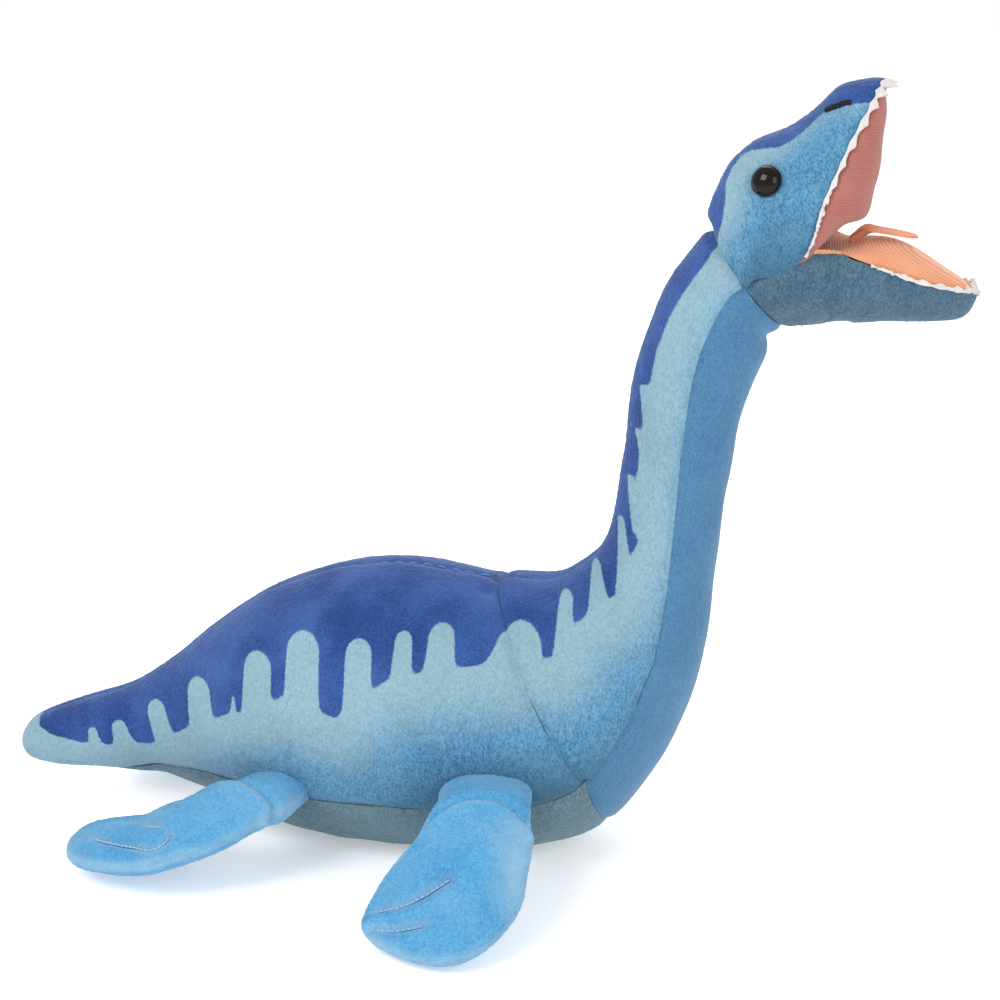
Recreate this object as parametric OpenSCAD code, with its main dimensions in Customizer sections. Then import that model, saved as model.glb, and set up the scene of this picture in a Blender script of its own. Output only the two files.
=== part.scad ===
// Stuffed plesiosaur: a long-necked sea reptile sewn from short-pile plush and filled with fibre.
// +X points to the nose, +Z up, +Y to the animal's left. It rests on its belly at Z = 0.

/* [Body] */
// Height of the back above the floor, at the middle of the body
body_h = 125; // [100:1:155]
// Width of the body across its middle
body_w = 106; // [85:1:130]
// Length from the middle of the body back to the tip of the tail
tail_len = 178; // [145:1:215]
// Diameter of the tail where it narrows
tail_d = 36; // [28:1:44]
// Length from the middle of the body forward to the axis of the neck
chest_len = 110; // [98:1:132]

/* [Neck] */
// Height from the top of the back up to the middle of the head seam
neck_h = 127; // [105:1:155]
// Forward lean of the head seam over the foot of the neck
neck_lean = 29; // [20:1:36]
// Diameter of the neck at its narrowest
neck_d = 45; // [38:1:49]
// Diameter of the round end of the neck that the head turns on
neck_end_d = 49; // [44:1:52]

/* [Head] */
// Length from the head seam to the end of the snout
head_len = 97; // [85:1:116]
// Width of the head at the eyes
head_w = 53; // [46:1:62]
// Height of the crown above the line of the lips
crown_h = 40; // [34:1:47]
// How far the stuffed palate stands below the lips
palate_h = 17; // [12:1:20]
// Slope of the upper jaw above the floor in degrees
head_tilt = 57; // [50:1:62]
// Diameter of the glossy safety eye
eye_d = 12; // [9:0.5:14.5]

/* [Jaw] */
// Length of the lower jaw in front of its fold
jaw_len = 56; // [47:1:67]
// Width of the lower jaw
jaw_w = 43; // [36:1:50]
// Thickness of the lower jaw at its fold
jaw_t = 31; // [26:1:33]
// Distance from the middle of the head seam to the jaw's fold
jaw_out = 36; // [34:1:42]
// How far the stuffed jaw lining stands above the lips
lining_h = 10; // [7:1:12]
// Length of the felt tongue
tongue_len = 26; // [20:1:31]

/* [Flippers] */
// Reach of a front flipper out from its root
front_len = 60; // [49:1:69]
// Widest part of a front flipper
front_w = 61; // [51:1:73]
// Reach of a rear flipper back from its root
rear_len = 84; // [70:1:100]
// Widest part of a rear flipper
rear_w = 44; // [37:1:53]
// Thickness of a stuffed flipper
flipper_t = 19; // [15:1:22]
// Height of the flipper roots above the floor
root_z = 42; // [36:1:50]

/* [Cloth] */
// Thickness of the plush with its pile
plush_t = 2; // [1.5:0.1:2.5]
// Thickness of the felt used for the teeth and the tongue
felt_t = 1.2; // [0.8:0.1:1.6]
// Height of an upper tooth
tooth_h = 5; // [4:0.5:7]
// Gap left between pieces that move on each other
move_gap = 0.5; // [0.4:0.1:0.8]
// Gap left between neighbouring pieces that stay together
seam_gap = 0.15; // [0.1:0.05:0.3]

/* [Hidden] */

// Colours
dark_blue = [0.16, 0.29, 0.62];
pale_blue = [0.50, 0.72, 0.86];
mid_blue = [0.36, 0.60, 0.83];
flipper_blue = [0.38, 0.70, 0.92];
pink_knit = [0.87, 0.58, 0.55];
peach_knit = [0.93, 0.64, 0.48];
felt_white = [0.95, 0.94, 0.90];
fibre_white = [0.93, 0.93, 0.91];
eye_black = [0.03, 0.03, 0.04];

// ---------- Curves and lofts ----------

// One point of a smooth curve through p1 and p2
function curve_point(p0, p1, p2, p3, t) =
  0.5 * (2 * p1 + (p2 - p0) * t + (2 * p0 - 5 * p1 + 4 * p2 - p3) * t * t
    + (3 * p1 - p0 - 3 * p2 + p3) * t * t * t);

// A value between the rows of a list, where u counts rows
function at(rows, u) =
  let (i = max(0, min(floor(u), len(rows) - 2)))
  let (before = i > 0 ? rows[i - 1] : 2 * rows[i] - rows[i + 1])
  let (after = i + 2 < len(rows) ? rows[i + 2] : 2 * rows[i + 1] - rows[i])
  curve_point(before, rows[i], rows[i + 1], after, u - i);

function mix(a, b, t) = a + (b - a) * t;
function unit(v) = v / norm(v);

// A section row of a body loft is [x, z, slope, half height above, half height below, half width].
// Angle 0 is the back, 90 the right side and 180 the belly. depth is measured in from the surface.
function loft_point(rows, u, angle, depth) =
  let (row = at(rows, u))
  let (inward = min(depth, 0.6 * min(row[3], row[4], row[5])))
  let (reach = (cos(angle) >= 0 ? row[3] : row[4]) - inward)
  [row[0] - sin(row[2]) * reach * cos(angle),
   -(row[5] - inward) * sin(angle),
   row[1] + cos(row[2]) * reach * cos(angle)];

// Triangles of a closed box of two grids, the first outside and the second inside
function grid_faces(nu, nv) =
  let (w = nv + 1, base = (nu + 1) * (nv + 1))
  concat(
    [for (i = [0:nu - 1], j = [0:nv - 1], k = [0, 1])
      k == 0 ? [i * w + j, (i + 1) * w + j, (i + 1) * w + j + 1]
             : [i * w + j, (i + 1) * w + j + 1, i * w + j + 1]],
    [for (i = [0:nu - 1], j = [0:nv - 1], k = [0, 1])
      k == 0 ? [base + i * w + j, base + (i + 1) * w + j + 1, base + (i + 1) * w + j]
             : [base + i * w + j, base + i * w + j + 1, base + (i + 1) * w + j + 1]],
    [for (i = [0:nu - 1], j = [0, nv], k = [0, 1])
      let (a = i * w + j, b = (i + 1) * w + j, side = j == 0)
      k == 0 ? (side ? [a, base + a, base + b] : [a, base + b, base + a])
             : (side ? [a, base + b, b] : [a, b, base + b])],
    [for (j = [0:nv - 1], i = [0, nu], k = [0, 1])
      let (a = i * w + j, b = i * w + j + 1, side = i == 0)
      k == 0 ? (side ? [a, base + b, base + a] : [a, base + a, base + b])
             : (side ? [a, b, base + b] : [a, base + b, b])]
  );

// A sheet between an outer and an inner surface, each a function of (s, t) from 0 to 1
module sheet(outer, inner, nu, nv) {
  polyhedron(
    points = concat(
      [for (i = [0:nu], j = [0:nv]) outer(i / nu, j / nv)],
      [for (i = [0:nu], j = [0:nv]) inner(i / nu, j / nv)]
    ),
    faces = grid_faces(nu, nv)
  );
}

// A solid of closed rings, where ring is a function of (s, angle); its ends are flat fans
module ringed_solid(ring, count, sides) {
  last = count * sides;
  polyhedron(
    points = [for (i = [0:count], j = [0:sides - 1]) ring(i / count, 360 * j / sides)],
    faces = concat(
      [for (i = [0:count - 1], j = [0:sides - 1], k = [0, 1])
        let (a = i * sides + j, b = i * sides + (j + 1) % sides)
        k == 0 ? [a, a + sides, b + sides] : [a, b + sides, b]],
      [[for (j = [0:sides - 1]) j]],
      [[for (j = [0:sides - 1]) last + sides - 1 - j]]
    )
  );
}

// ---------- Body, tail and neck ----------

half_h = body_h / 2;
half_w = body_w / 2;
tail_r = tail_d / 2;
neck_r = neck_d / 2;
neck_end_r = neck_end_d / 2;
belly_sag = 2.5;
fill_gap = 0.5;
lip_gap = 0.3;
tooth_out = lip_gap + felt_t + tooth_h * 0.69;
tail_tip = tail_len * 0.985;
nose_reach = chest_len + neck_lean + jaw_out + jaw_len + tooth_out;
// Middle of the body, placed so that the whole toy is centred on X = 0
body_x = (tail_tip - nose_reach) / 2;
neck_foot = body_x + chest_len;

// Tail rows: share of the tail's length, centre height and half height as shares of the body's,
// and how much of each comes from the tail's own radius
function tail_row(along, height, tall, wide) =
  [body_x - tail_len * along, height, 0, tall, tall, wide];

// Neck rows: shares of the neck's height and lean, slope of the section and its half sizes
function neck_row(rise, lean, slope, tall, wide) =
  [neck_foot + neck_lean * lean, body_h + neck_h * rise, slope, tall, tall, wide];

// The neck is rounded past the head seam, by a share of its radius
neck_end_slope = 38;
function neck_cap_row(rise) =
  let (r = neck_end_r * sqrt(1 - rise * rise), forward = neck_end_r * rise)
  [neck_foot + neck_lean + cos(neck_end_slope) * forward,
   body_h + neck_h + sin(neck_end_slope) * forward, neck_end_slope, r, r, r];

torso_rows = [
  tail_row(0.985, root_z * 0.78, tail_r * 0.12, tail_r * 0.12),
  tail_row(0.975, root_z * 0.79, tail_r * 0.34, tail_r * 0.34),
  tail_row(0.945, root_z * 0.82, tail_r * 0.58, tail_r * 0.56),
  tail_row(0.84, root_z * 0.90, tail_r * 0.86, tail_r * 0.82),
  tail_row(0.71, half_h * 0.67, tail_r * 1.08, tail_r * 1.0),
  tail_row(0.60, half_h * 0.76, half_h * 0.42, half_w * 0.38),
  tail_row(0.49, half_h * 0.85, half_h * 0.60, half_w * 0.57),
  tail_row(0.35, half_h * 0.92, half_h * 0.82, half_w * 0.80),
  tail_row(0.18, half_h * 0.96, half_h * 0.97, half_w * 0.95),
  [body_x, half_h - belly_sag / 2, 0, half_h + belly_sag / 2, half_h + belly_sag / 2, half_w],
  [body_x + chest_len * 0.37, half_h * 0.96, 5, half_h * 0.98, half_h * 0.98, half_w * 0.98],
  [body_x + chest_len * 0.66, half_h * 1.06, 12, half_h * 0.90, half_h * 0.90, half_w * 0.92],
  [body_x + chest_len * 0.825, half_h * 1.34, 24, half_h * 0.745, half_h * 0.745, half_w * 0.79],
  [body_x + chest_len * 0.93, half_h * 1.70, 40, half_h * 0.56, half_h * 0.56, half_w * 0.63],
  [body_x + chest_len * 0.975, half_h * 2.04, 58, mix(neck_r, half_h, 0.10), mix(neck_r, half_h, 0.10),
   mix(neck_r, half_w, 0.14)],
  neck_row(0.21, 0.03, 76, neck_r, neck_r * 1.03),
  neck_row(0.47, 0.17, 80, neck_r, neck_r),
  neck_row(0.69, 0.34, 77, neck_r * 1.06, neck_r * 1.04),
  neck_row(0.85, 0.60, 62, neck_end_r, neck_end_r),
  neck_cap_row(-0.24),
  neck_cap_row(0.0),
  neck_cap_row(0.10),
  neck_cap_row(0.18)
];
neck_end_row = len(torso_rows) - 1;
floor_clear = function(p, depth) [p[0], p[1], max(p[2], depth)];

function torso_point(u, angle, depth) = floor_clear(loft_point(torso_rows, u, angle, depth), depth);

// The seam between body and neck leans from the back down to the front of the belly
seam_span = 115;
function neck_seam_row(angle) = mix(10.45, 11.15, min(1, angle / seam_span));

// Share of a row left open on each side of a seam that runs across the loft
seam_share = 0.006;

// Angle of the seam between the side panels and the panels under them, along the loft
under_seam = [
  180, 180, 179, 168, 150, 134, 124, 120, 118, 118, 118, 114,
  100, 95, 93, 90, 89, 88, 85, 88, 88, 88, 88,
];
under_start = 3.0;

function side_seam(u) = at(under_seam, u);
// A seam gap is turned into an angle at the loft's local size
function gap_angle(u) = seam_gap / max(2, at(torso_rows, u)[3]) * 57.3;

module body_side(side) {
  depth = function(d) function(s, t)
    let (u = mix(0, neck_seam_row(t * seam_span) - seam_share, s))
    let (angle = mix(gap_angle(u), side_seam(u) - gap_angle(u), t))
    torso_point(u, angle, d);
  mirror([0, side, 0]) sheet(depth(0), depth(plush_t), 34, 11);
}

module neck_side(side) {
  depth = function(d) function(s, t)
    let (u = mix(neck_seam_row(t * seam_span) + seam_share, neck_end_row, s))
    let (angle = mix(gap_angle(u), side_seam(u) - gap_angle(u), t))
    torso_point(u, angle, d);
  mirror([0, side, 0]) sheet(depth(0), depth(plush_t), 26, 8);
}

module under_panel(from, to, steps) {
  depth = function(d) function(s, t)
    let (u = mix(from, to, s))
    let (angle = mix(side_seam(u) + gap_angle(u), 360 - side_seam(u) - gap_angle(u), t))
    torso_point(u, angle, d);
  sheet(depth(0), depth(plush_t), steps, 10);
}

chest_seam_row = 11.15;
fill_depth = plush_t + seam_gap + fill_gap;

module torso_fill(from, to, steps) {
  ringed_solid(function(s, angle) torso_point(mix(from, to, s), angle, fill_depth), steps, 18);
}

module body_panel_right() {
  color(dark_blue) body_side(0);
}
module body_panel_left() {
  color(dark_blue) body_side(1);
}
module neck_panel_right() {
  color(pale_blue) neck_side(0);
}
module neck_panel_left() {
  color(pale_blue) neck_side(1);
}
module throat_panel() {
  color(mid_blue) under_panel(chest_seam_row + seam_share, neck_end_row, 26);
}
module belly_panel() {
  color(pale_blue) under_panel(under_start, chest_seam_row - seam_share, 20);
}
module body_stuffing() {
  color(fibre_white) torso_fill(0.5, 12.98, 26);
}
module neck_stuffing() {
  color(fibre_white) torso_fill(13.0, neck_end_row, 18);
}

// ---------- Head ----------

seam_x = neck_foot + neck_lean;
seam_z = body_h + neck_h;
head_half_w = head_w / 2;
hood_r = neck_end_r + move_gap + plush_t;

// A point in the plane of symmetry, measured along and square to the upper jaw from the head seam
function skull(along, across) =
  [seam_x + cos(head_tilt) * along - sin(head_tilt) * across,
   seam_z + sin(head_tilt) * along + cos(head_tilt) * across];

// A ring of the hood around the round end of the neck
function hood_row(slope, forward) =
  let (r = sqrt(hood_r * hood_r - forward * forward))
  [seam_x + cos(slope) * forward, seam_z + sin(slope) * forward, slope, r, r, r];

// A section of the upper jaw: shares of its length, drop of the lips, crown, palate and width
function head_row(along, lip, crown, palate, wide) =
  let (p = skull(head_len * along, -crown_h * lip))
  [p[0], p[1], head_tilt, crown_h * crown, palate_h * palate, head_half_w * wide];

head_rows = [
  hood_row(neck_end_slope, 2.0),
  hood_row(mix(neck_end_slope, head_tilt, 0.5), 8),
  head_row(0.15, 0.20, 0.89, 0.42, 0.99),
  head_row(0.25, 0.29, 1.05, 0.20, 1.00),
  head_row(0.36, 0.25, 1.05, 0.25, 1.00),
  head_row(0.435, 0.18, 0.95, 0.75, 0.97),
  head_row(0.51, 0.13, 0.84, 1.08, 0.93),
  head_row(0.62, 0.08, 0.63, 1.00, 0.83),
  head_row(0.74, 0.03, 0.44, 0.82, 0.70),
  head_row(0.87, 0.00, 0.27, 0.50, 0.52),
  head_row(0.95, -0.02, 0.13, 0.22, 0.34),
  head_row(0.995, -0.03, 0.04, 0.04, 0.10)
];
corner_row = 3;
snout_row = len(head_rows) - 1;

// The fold that the lower jaw turns on
jaw_r = jaw_t / 2;
jaw_half_w = jaw_w / 2;
jaw_drop = 4.6;
fold_x = seam_x + jaw_out;
fold_z = seam_z;
fold_sag = 1.2;

// A point kept outside a rounded barrel around the jaw's fold
function off_fold(p, depth) =
  let (grow = move_gap + fold_sag + depth)
  let (q = [(p[0] - fold_x) / (jaw_r + grow), p[1] / (jaw_half_w + grow), (p[2] - fold_z) / (jaw_r + grow)])
  norm(q) >= 1 || norm(q) < 0.01 ? p
    : [fold_x + (p[0] - fold_x) / norm(q), p[1] / norm(q), fold_z + (p[2] - fold_z) / norm(q)];

function head_point(u, angle, depth) = off_fold(loft_point(head_rows, u, angle, depth), depth);

module head_side() {
  skin = function(d) function(s, t) head_point(mix(0, snout_row, s), mix(0.6, 89.4, t), d);
  sheet(skin(0), skin(plush_t), 22, 8);
}

// The eye sits on the cheek, above the corner of the mouth
eye_row = 4.85;
eye_angle = 50;
eye_r = eye_d / 2;
shank_r = eye_r * 0.33;
shank_len = 11;
washer_r = eye_r * 1.35;
washer_t = 1.6;
shank_gap = 0.1;
eye_lift = 1.1;
eye_base = head_point(eye_row, eye_angle, 0);
eye_out = unit(cross(
  head_point(eye_row, eye_angle + 4, 0) - head_point(eye_row, eye_angle - 4, 0),
  head_point(eye_row + 0.25, eye_angle, 0) - head_point(eye_row - 0.25, eye_angle, 0)));

// Children drawn along +Z are turned to stand out of the right cheek at the eye
module at_eye() {
  turn = acos(eye_out[2]);
  spin = atan2(eye_out[1], eye_out[0]);
  translate(eye_base) rotate([0, turn, spin]) children();
}

module eye() {
  at_eye() rotate_extrude($fn = 48)
    polygon(concat(
      [[0, -shank_len], [shank_r, -shank_len], [shank_r, move_gap]],
      [for (a = [0:9:81]) [eye_r * cos(a), eye_lift + eye_r * 0.62 * sin(a)]],
      [[0, eye_lift + eye_r * 0.62]]));
}

module eye_washer() {
  at_eye() translate([0, 0, -plush_t - washer_t - 3 * seam_gap - 1.2]) difference() {
    cylinder(r = washer_r, h = washer_t, $fn = 48);
    translate([0, 0, -1]) cylinder(r = shank_r + shank_gap, h = washer_t + 2, $fn = 32);
  }
}

module eye_hole() {
  at_eye() translate([0, 0, -shank_len]) cylinder(r = shank_r + shank_gap, h = shank_len + 5, $fn = 32);
}

module washer_pocket() {
  at_eye() translate([0, 0, -shank_len - 1]) cylinder(r = washer_r + 0.6, h = shank_len + 8, $fn = 32);
}

module head_panel_right() {
  color(mid_blue) difference() {
    head_side();
    eye_hole();
  }
}
module head_panel_left() {
  mirror([0, 1, 0]) head_panel_right();
}
module palate_lining() {
  skin = function(d) function(s, t)
    head_point(mix(1.75, snout_row, s), mix(90.6, 269.4, t), d);
  color(pink_knit) sheet(skin(0), skin(plush_t * 0.6), 20, 10);
}
module jaw_panel_back() {
  skin = function(d) function(s, t)
    head_point(mix(0, 1.72, s), mix(90.6, 269.4, t), d);
  color(mid_blue) sheet(skin(0), skin(plush_t), 6, 10);
}
module head_stuffing() {
  fill = function(s, angle) head_point(mix(2.3, 9.8, s), angle, fill_depth);
  color(fibre_white) difference() {
    ringed_solid(fill, 14, 16);
    washer_pocket();
    mirror([0, 1, 0]) washer_pocket();
  }
}
module eye_right() {
  color(eye_black) eye();
}
module eye_left() {
  color(eye_black) mirror([0, 1, 0]) eye();
}
module eye_washer_right() {
  color(fibre_white) eye_washer();
}
module eye_washer_left() {
  color(fibre_white) mirror([0, 1, 0]) eye_washer();
}

// A satin-stitched bar that lies on the snout
nostril_row = 8.45;
nostril_angle = 50;
nostril_t = 0.8;
module nostril() {
  lie = function(d) function(s, t)
    head_point(nostril_row + mix(-0.42, 0.42, s), nostril_angle + mix(-5, 5, t) - 10 * s, -d);
  color(eye_black) sheet(lie(nostril_t), lie(0.1), 6, 2);
}
module nostril_right() {
  nostril();
}
module nostril_left() {
  mirror([0, 1, 0]) nostril();
}

// ---------- Lower jaw ----------

function jaw_place(along, across) =
  [fold_x + cos(jaw_drop) * along + sin(jaw_drop) * across,
   fold_z - sin(jaw_drop) * along + cos(jaw_drop) * across];

// A ring of the rounded barrel at the fold, where back runs from 0 to 1
function barrel_row(back) =
  let (p = jaw_place(-jaw_r * back, 0), thin = sqrt(1 - back * back))
  [p[0], p[1], -jaw_drop, jaw_r * thin, jaw_r * thin, jaw_half_w * thin];

// A section of the jaw: share of its length, height of the lips, then lining, depth and width
function jaw_row(along, lip, lining, deep, wide) =
  let (p = jaw_place(jaw_len * along, jaw_r * lip))
  [p[0], p[1], -jaw_drop, lining_h * lining, jaw_t * deep, jaw_half_w * wide];

jaw_rows = [
  barrel_row(0.985),
  barrel_row(0.86),
  barrel_row(0.5),
  [fold_x, fold_z, -jaw_drop, jaw_r * 0.97, jaw_r, jaw_half_w],
  jaw_row(0.10, 0.40, 0.85, 0.66, 1.0),
  jaw_row(0.21, 0.72, 0.60, 0.83, 1.0),
  jaw_row(0.36, 0.66, 0.95, 0.75, 0.98),
  jaw_row(0.54, 0.50, 0.95, 0.64, 0.90),
  jaw_row(0.72, 0.38, 0.60, 0.54, 0.74),
  jaw_row(0.88, 0.28, 0.28, 0.42, 0.50),
  jaw_row(0.96, 0.25, 0.14, 0.30, 0.30),
  jaw_row(0.995, 0.20, 0.04, 0.08, 0.09)
];
chin_row = len(jaw_rows) - 1;

function jaw_point(u, angle, depth) = loft_point(jaw_rows, u, angle, depth);

module jaw_panel() {
  skin = function(d) function(s, t) jaw_point(mix(0, chin_row, s), mix(90.6, 269.4, t), d);
  color(mid_blue) sheet(skin(0), skin(plush_t), 20, 10);
}
module jaw_lining() {
  skin = function(d) function(s, t) jaw_point(mix(0, chin_row, s), mix(-89.4, 89.4, t), d);
  color(peach_knit) sheet(skin(0), skin(plush_t * 0.6), 20, 10);
}
module jaw_stuffing() {
  fill = function(s, angle) jaw_point(mix(0.25, 9.8, s), angle, fill_depth);
  color(fibre_white) ringed_solid(fill, 13, 14);
}

// ---------- Felt teeth and tongue ----------

// A saw-toothed felt edge that follows a line of lips from one corner round to the other.
// lip is a function of t from 0 to 1, up is the way the teeth point.
module tooth_edge(lip, up, count, low, high) {
  steps = count * 2;
  spread = 0.55;
  row = function(i)
    let (t = i / steps, p = lip(t), along = unit(lip(min(1, t + 0.01)) - lip(max(0, t - 0.01))))
    let (out = unit(cross(up, along)), tall = (i % 2 == 0 ? 0.25 : 1) * mix(low, high, sin(180 * t)))
    let (lean = unit(up + out * spread), thick = unit(cross(lean, along)) * felt_t)
    let (foot = p + out * lip_gap)
    [foot, foot + lean * tall, foot + thick + lean * tall, foot + thick];
  corners = [for (i = [0:steps]) row(i)];
  polyhedron(
    points = [for (c = corners) each c],
    faces = concat(
      [for (i = [0:steps - 1], j = [0:3], k = [0, 1])
        let (a = 4 * i + j, b = 4 * i + (j + 1) % 4)
        k == 0 ? [a, b, b + 4] : [a, b + 4, a + 4]],
      [[3, 2, 1, 0]],
      [[4 * steps, 4 * steps + 1, 4 * steps + 2, 4 * steps + 3]]
    )
  );
}

// Lips run forward along the right side and back along the left
function round_trip(t, from, to) = t < 0.5 ? mix(from, to, t * 2) : mix(to, from, t * 2 - 1);

module upper_teeth() {
  lip = function(t) head_point(round_trip(t, corner_row + 0.2, snout_row), t < 0.5 ? 90 : 270, 0);
  down = [sin(head_tilt), 0, -cos(head_tilt)];
  color(felt_white) tooth_edge(lip, down, 20, tooth_h * 0.7, tooth_h);
}
module lower_teeth() {
  lip = function(t) jaw_point(round_trip(1 - t, 5.4, chin_row), t < 0.5 ? 270 : 90, 0);
  up = [sin(jaw_drop), 0, cos(jaw_drop)];
  color(felt_white) tooth_edge(lip, up, 16, tooth_h * 0.6, tooth_h * 1.7);
}

tongue_w = 11;
tongue_root_along = 6;
tongue_root_up = jaw_r + lining_h * 0.75;
tongue_lift = -8;
module tongue() {
  // Half width along the tongue, drawn in to a round tip
  half = function(s) tongue_w / 2 * (s < 0.7 ? 1 : sqrt(max(0.02, 1 - pow((s - 0.7) / 0.3, 2))));
  face = function(up) function(s, t)
    let (along = tongue_root_along + tongue_len * s * cos(tongue_lift))
    let (rise = tongue_root_up + tongue_len * s * sin(tongue_lift) + up)
    let (p = jaw_place(along, rise))
    [p[0], half(s) * (2 * t - 1), p[1]];
  color(peach_knit) sheet(face(0), face(felt_t), 10, 4);
}

// ---------- Flippers ----------

// A flipper lies along local +X from its hinge line, which is local Y, and bends down as it goes.
// A row is [out, along, height, turn of the section, dip, half width, half thickness].
flipper_r = flipper_t / 2;
function flip_row(len, wide, out, along, drop, turn, dip, w, c) =
  [len * out, wide * along, -len * drop, turn, dip, wide * w / 2, flipper_r * c];

function front_rows() =
  let (r = function(out, along, drop, turn, dip, w, c)
    flip_row(front_len, front_w, out, along, drop, turn, dip, w, c))
  [
    [-flipper_r * 0.97, 0, 0, 0, 0, front_w * 0.29, flipper_r * 0.25],
    [-flipper_r * 0.70, 0, 0, 0, 0, front_w * 0.33, flipper_r * 0.72],
    r(0.00, 0.00, 0.00, 0, 0, 0.70, 1.00),
    r(0.16, -0.01, -0.02, 0, 14, 0.74, 1.00),
    r(0.35, -0.06, 0.12, 6, 40, 0.86, 1.00),
    r(0.57, -0.15, 0.32, 12, 43, 1.00, 1.00),
    r(0.78, -0.24, 0.49, 16, 36, 1.00, 0.88),
    r(0.91, -0.30, 0.57, 18, 28, 0.80, 0.70),
    r(0.975, -0.32, 0.60, 18, 22, 0.48, 0.46),
    r(1.00, -0.33, 0.61, 18, 20, 0.15, 0.16)
  ];

function rear_rows() =
  let (r = function(out, along, drop, turn, dip, w, c)
    flip_row(rear_len, rear_w, out, along, drop, turn, dip, w, c))
  [
    [-flipper_r * 0.97, 0, 0, 0, 0, rear_w * 0.28, flipper_r * 0.25],
    [-flipper_r * 0.70, 0, 0, 0, 0, rear_w * 0.33, flipper_r * 0.72],
    r(0.00, 0.00, 0.00, 0, 0, 0.72, 1.00),
    r(0.10, -0.06, 0.02, 15, 22, 0.76, 1.00),
    r(0.20, -0.28, 0.09, 35, 30, 0.84, 1.00),
    r(0.255, -0.62, 0.17, 58, 24, 0.94, 0.98),
    r(0.275, -1.00, 0.235, 75, 10, 1.00, 0.92),
    r(0.275, -1.38, 0.265, 84, 4, 0.96, 0.82),
    r(0.26, -1.68, 0.28, 88, 2, 0.74, 0.66),
    r(0.25, -1.84, 0.285, 90, 0, 0.44, 0.44),
    r(0.245, -1.89, 0.285, 90, 0, 0.14, 0.16)
  ];

// Angle 0 is the top of the flipper, 90 its trailing edge and 270 its leading edge.
// low is the height of the floor under it, below the hinge line.
function flipper_point(rows, u, angle, depth, low) =
  let (row = at(rows, u), inward = min(depth, 0.6 * row[6]))
  let (w = -(row[5] - inward) * sin(angle), c = (row[6] - inward) * cos(angle))
  [row[0] + sin(row[3]) * w + sin(row[4]) * cos(row[3]) * c,
   row[1] + cos(row[3]) * w - sin(row[4]) * sin(row[3]) * c,
   max(row[2] + cos(row[4]) * c, depth - low)];

module flipper_sheet(rows, low, from, to) {
  skin = function(d) function(s, t)
    flipper_point(rows, mix(0, len(rows) - 1, s), mix(from, to, t), d, low);
  sheet(skin(0), skin(plush_t), 13, 7);
}
module flipper_upper(rows, low) {
  color(flipper_blue) flipper_sheet(rows, low, -89, 89);
}
module flipper_lower(rows, low) {
  color(flipper_blue) flipper_sheet(rows, low, 91, 269);
}
module flipper_stuffing(rows, low) {
  fill = function(s, angle)
    flipper_point(rows, mix(0.3, len(rows) - 2.1, s), angle, fill_depth, low);
  color(fibre_white) ringed_solid(fill, 10, 12);
}

// Lines of thread that quilt the toes; a line is [row, angle, row, angle]
module toe_stitches(rows, low, lines) {
  thread = 0.9;
  for (line = lines) {
    lie = function(d) function(s, t)
      let (u = mix(line[0], line[2], s), a = mix(line[1], line[3], s))
      let (side = thread / max(4, at(rows, u)[5]) * 57.3 * (t - 0.5))
      flipper_point(rows, u, a + side, -d, low);
    color(mid_blue) sheet(lie(0.7), lie(0.1), 8, 1);
  }
}
front_lines = [[4.6, 8, 7.4, 28], [4.7, -24, 7.3, -12]];
rear_lines = [[5.2, 16, 7.3, 34], [5.2, -8, 7.4, -2], [5.3, -34, 7.2, -34]];

// Hinge lines of the flippers, just clear of the body's side
root_gap = 1.2;
front_root_x = body_x + chest_len * 0.385;
front_root_turn = 4;
rear_root_x = body_x - tail_len * 0.30;
rear_root_turn = -17;
root_side = function(share) half_w * share + flipper_r + root_gap;
front_root = [front_root_x, -root_side(0.96), root_z];
rear_root = [rear_root_x, -root_side(0.82), root_z * 0.84];
front_low = front_root[2];
rear_low = rear_root[2];

// Turns a flipper's own axes so that it points out of the right side
module on_right(root, turn) {
  translate(root) rotate([0, 0, -90 + turn]) children();
}

module front_right(side) {
  mirror([0, side, 0]) on_right(front_root, front_root_turn) children();
}
module rear_right(side) {
  mirror([0, side, 0]) on_right(rear_root, rear_root_turn) children();
}

module front_flipper_right_upper() {
  front_right(0) flipper_upper(front_rows(), front_low);
}
module front_flipper_right_lower() {
  front_right(0) flipper_lower(front_rows(), front_low);
}
module front_flipper_right_stuffing() {
  front_right(0) flipper_stuffing(front_rows(), front_low);
}
module front_flipper_right_toe_stitches() {
  front_right(0) toe_stitches(front_rows(), front_low, front_lines);
}
module front_flipper_left_upper() {
  front_right(1) flipper_upper(front_rows(), front_low);
}
module front_flipper_left_lower() {
  front_right(1) flipper_lower(front_rows(), front_low);
}
module front_flipper_left_stuffing() {
  front_right(1) flipper_stuffing(front_rows(), front_low);
}
module front_flipper_left_toe_stitches() {
  front_right(1) toe_stitches(front_rows(), front_low, front_lines);
}
module rear_flipper_right_upper() {
  rear_right(0) flipper_upper(rear_rows(), rear_low);
}
module rear_flipper_right_lower() {
  rear_right(0) flipper_lower(rear_rows(), rear_low);
}
module rear_flipper_right_stuffing() {
  rear_right(0) flipper_stuffing(rear_rows(), rear_low);
}
module rear_flipper_right_toe_stitches() {
  rear_right(0) toe_stitches(rear_rows(), rear_low, rear_lines);
}
module rear_flipper_left_upper() {
  rear_right(1) flipper_upper(rear_rows(), rear_low);
}
module rear_flipper_left_lower() {
  rear_right(1) flipper_lower(rear_rows(), rear_low);
}
module rear_flipper_left_stuffing() {
  rear_right(1) flipper_stuffing(rear_rows(), rear_low);
}
module rear_flipper_left_toe_stitches() {
  rear_right(1) toe_stitches(rear_rows(), rear_low, rear_lines);
}

// ---------- Shown parts ----------

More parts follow.
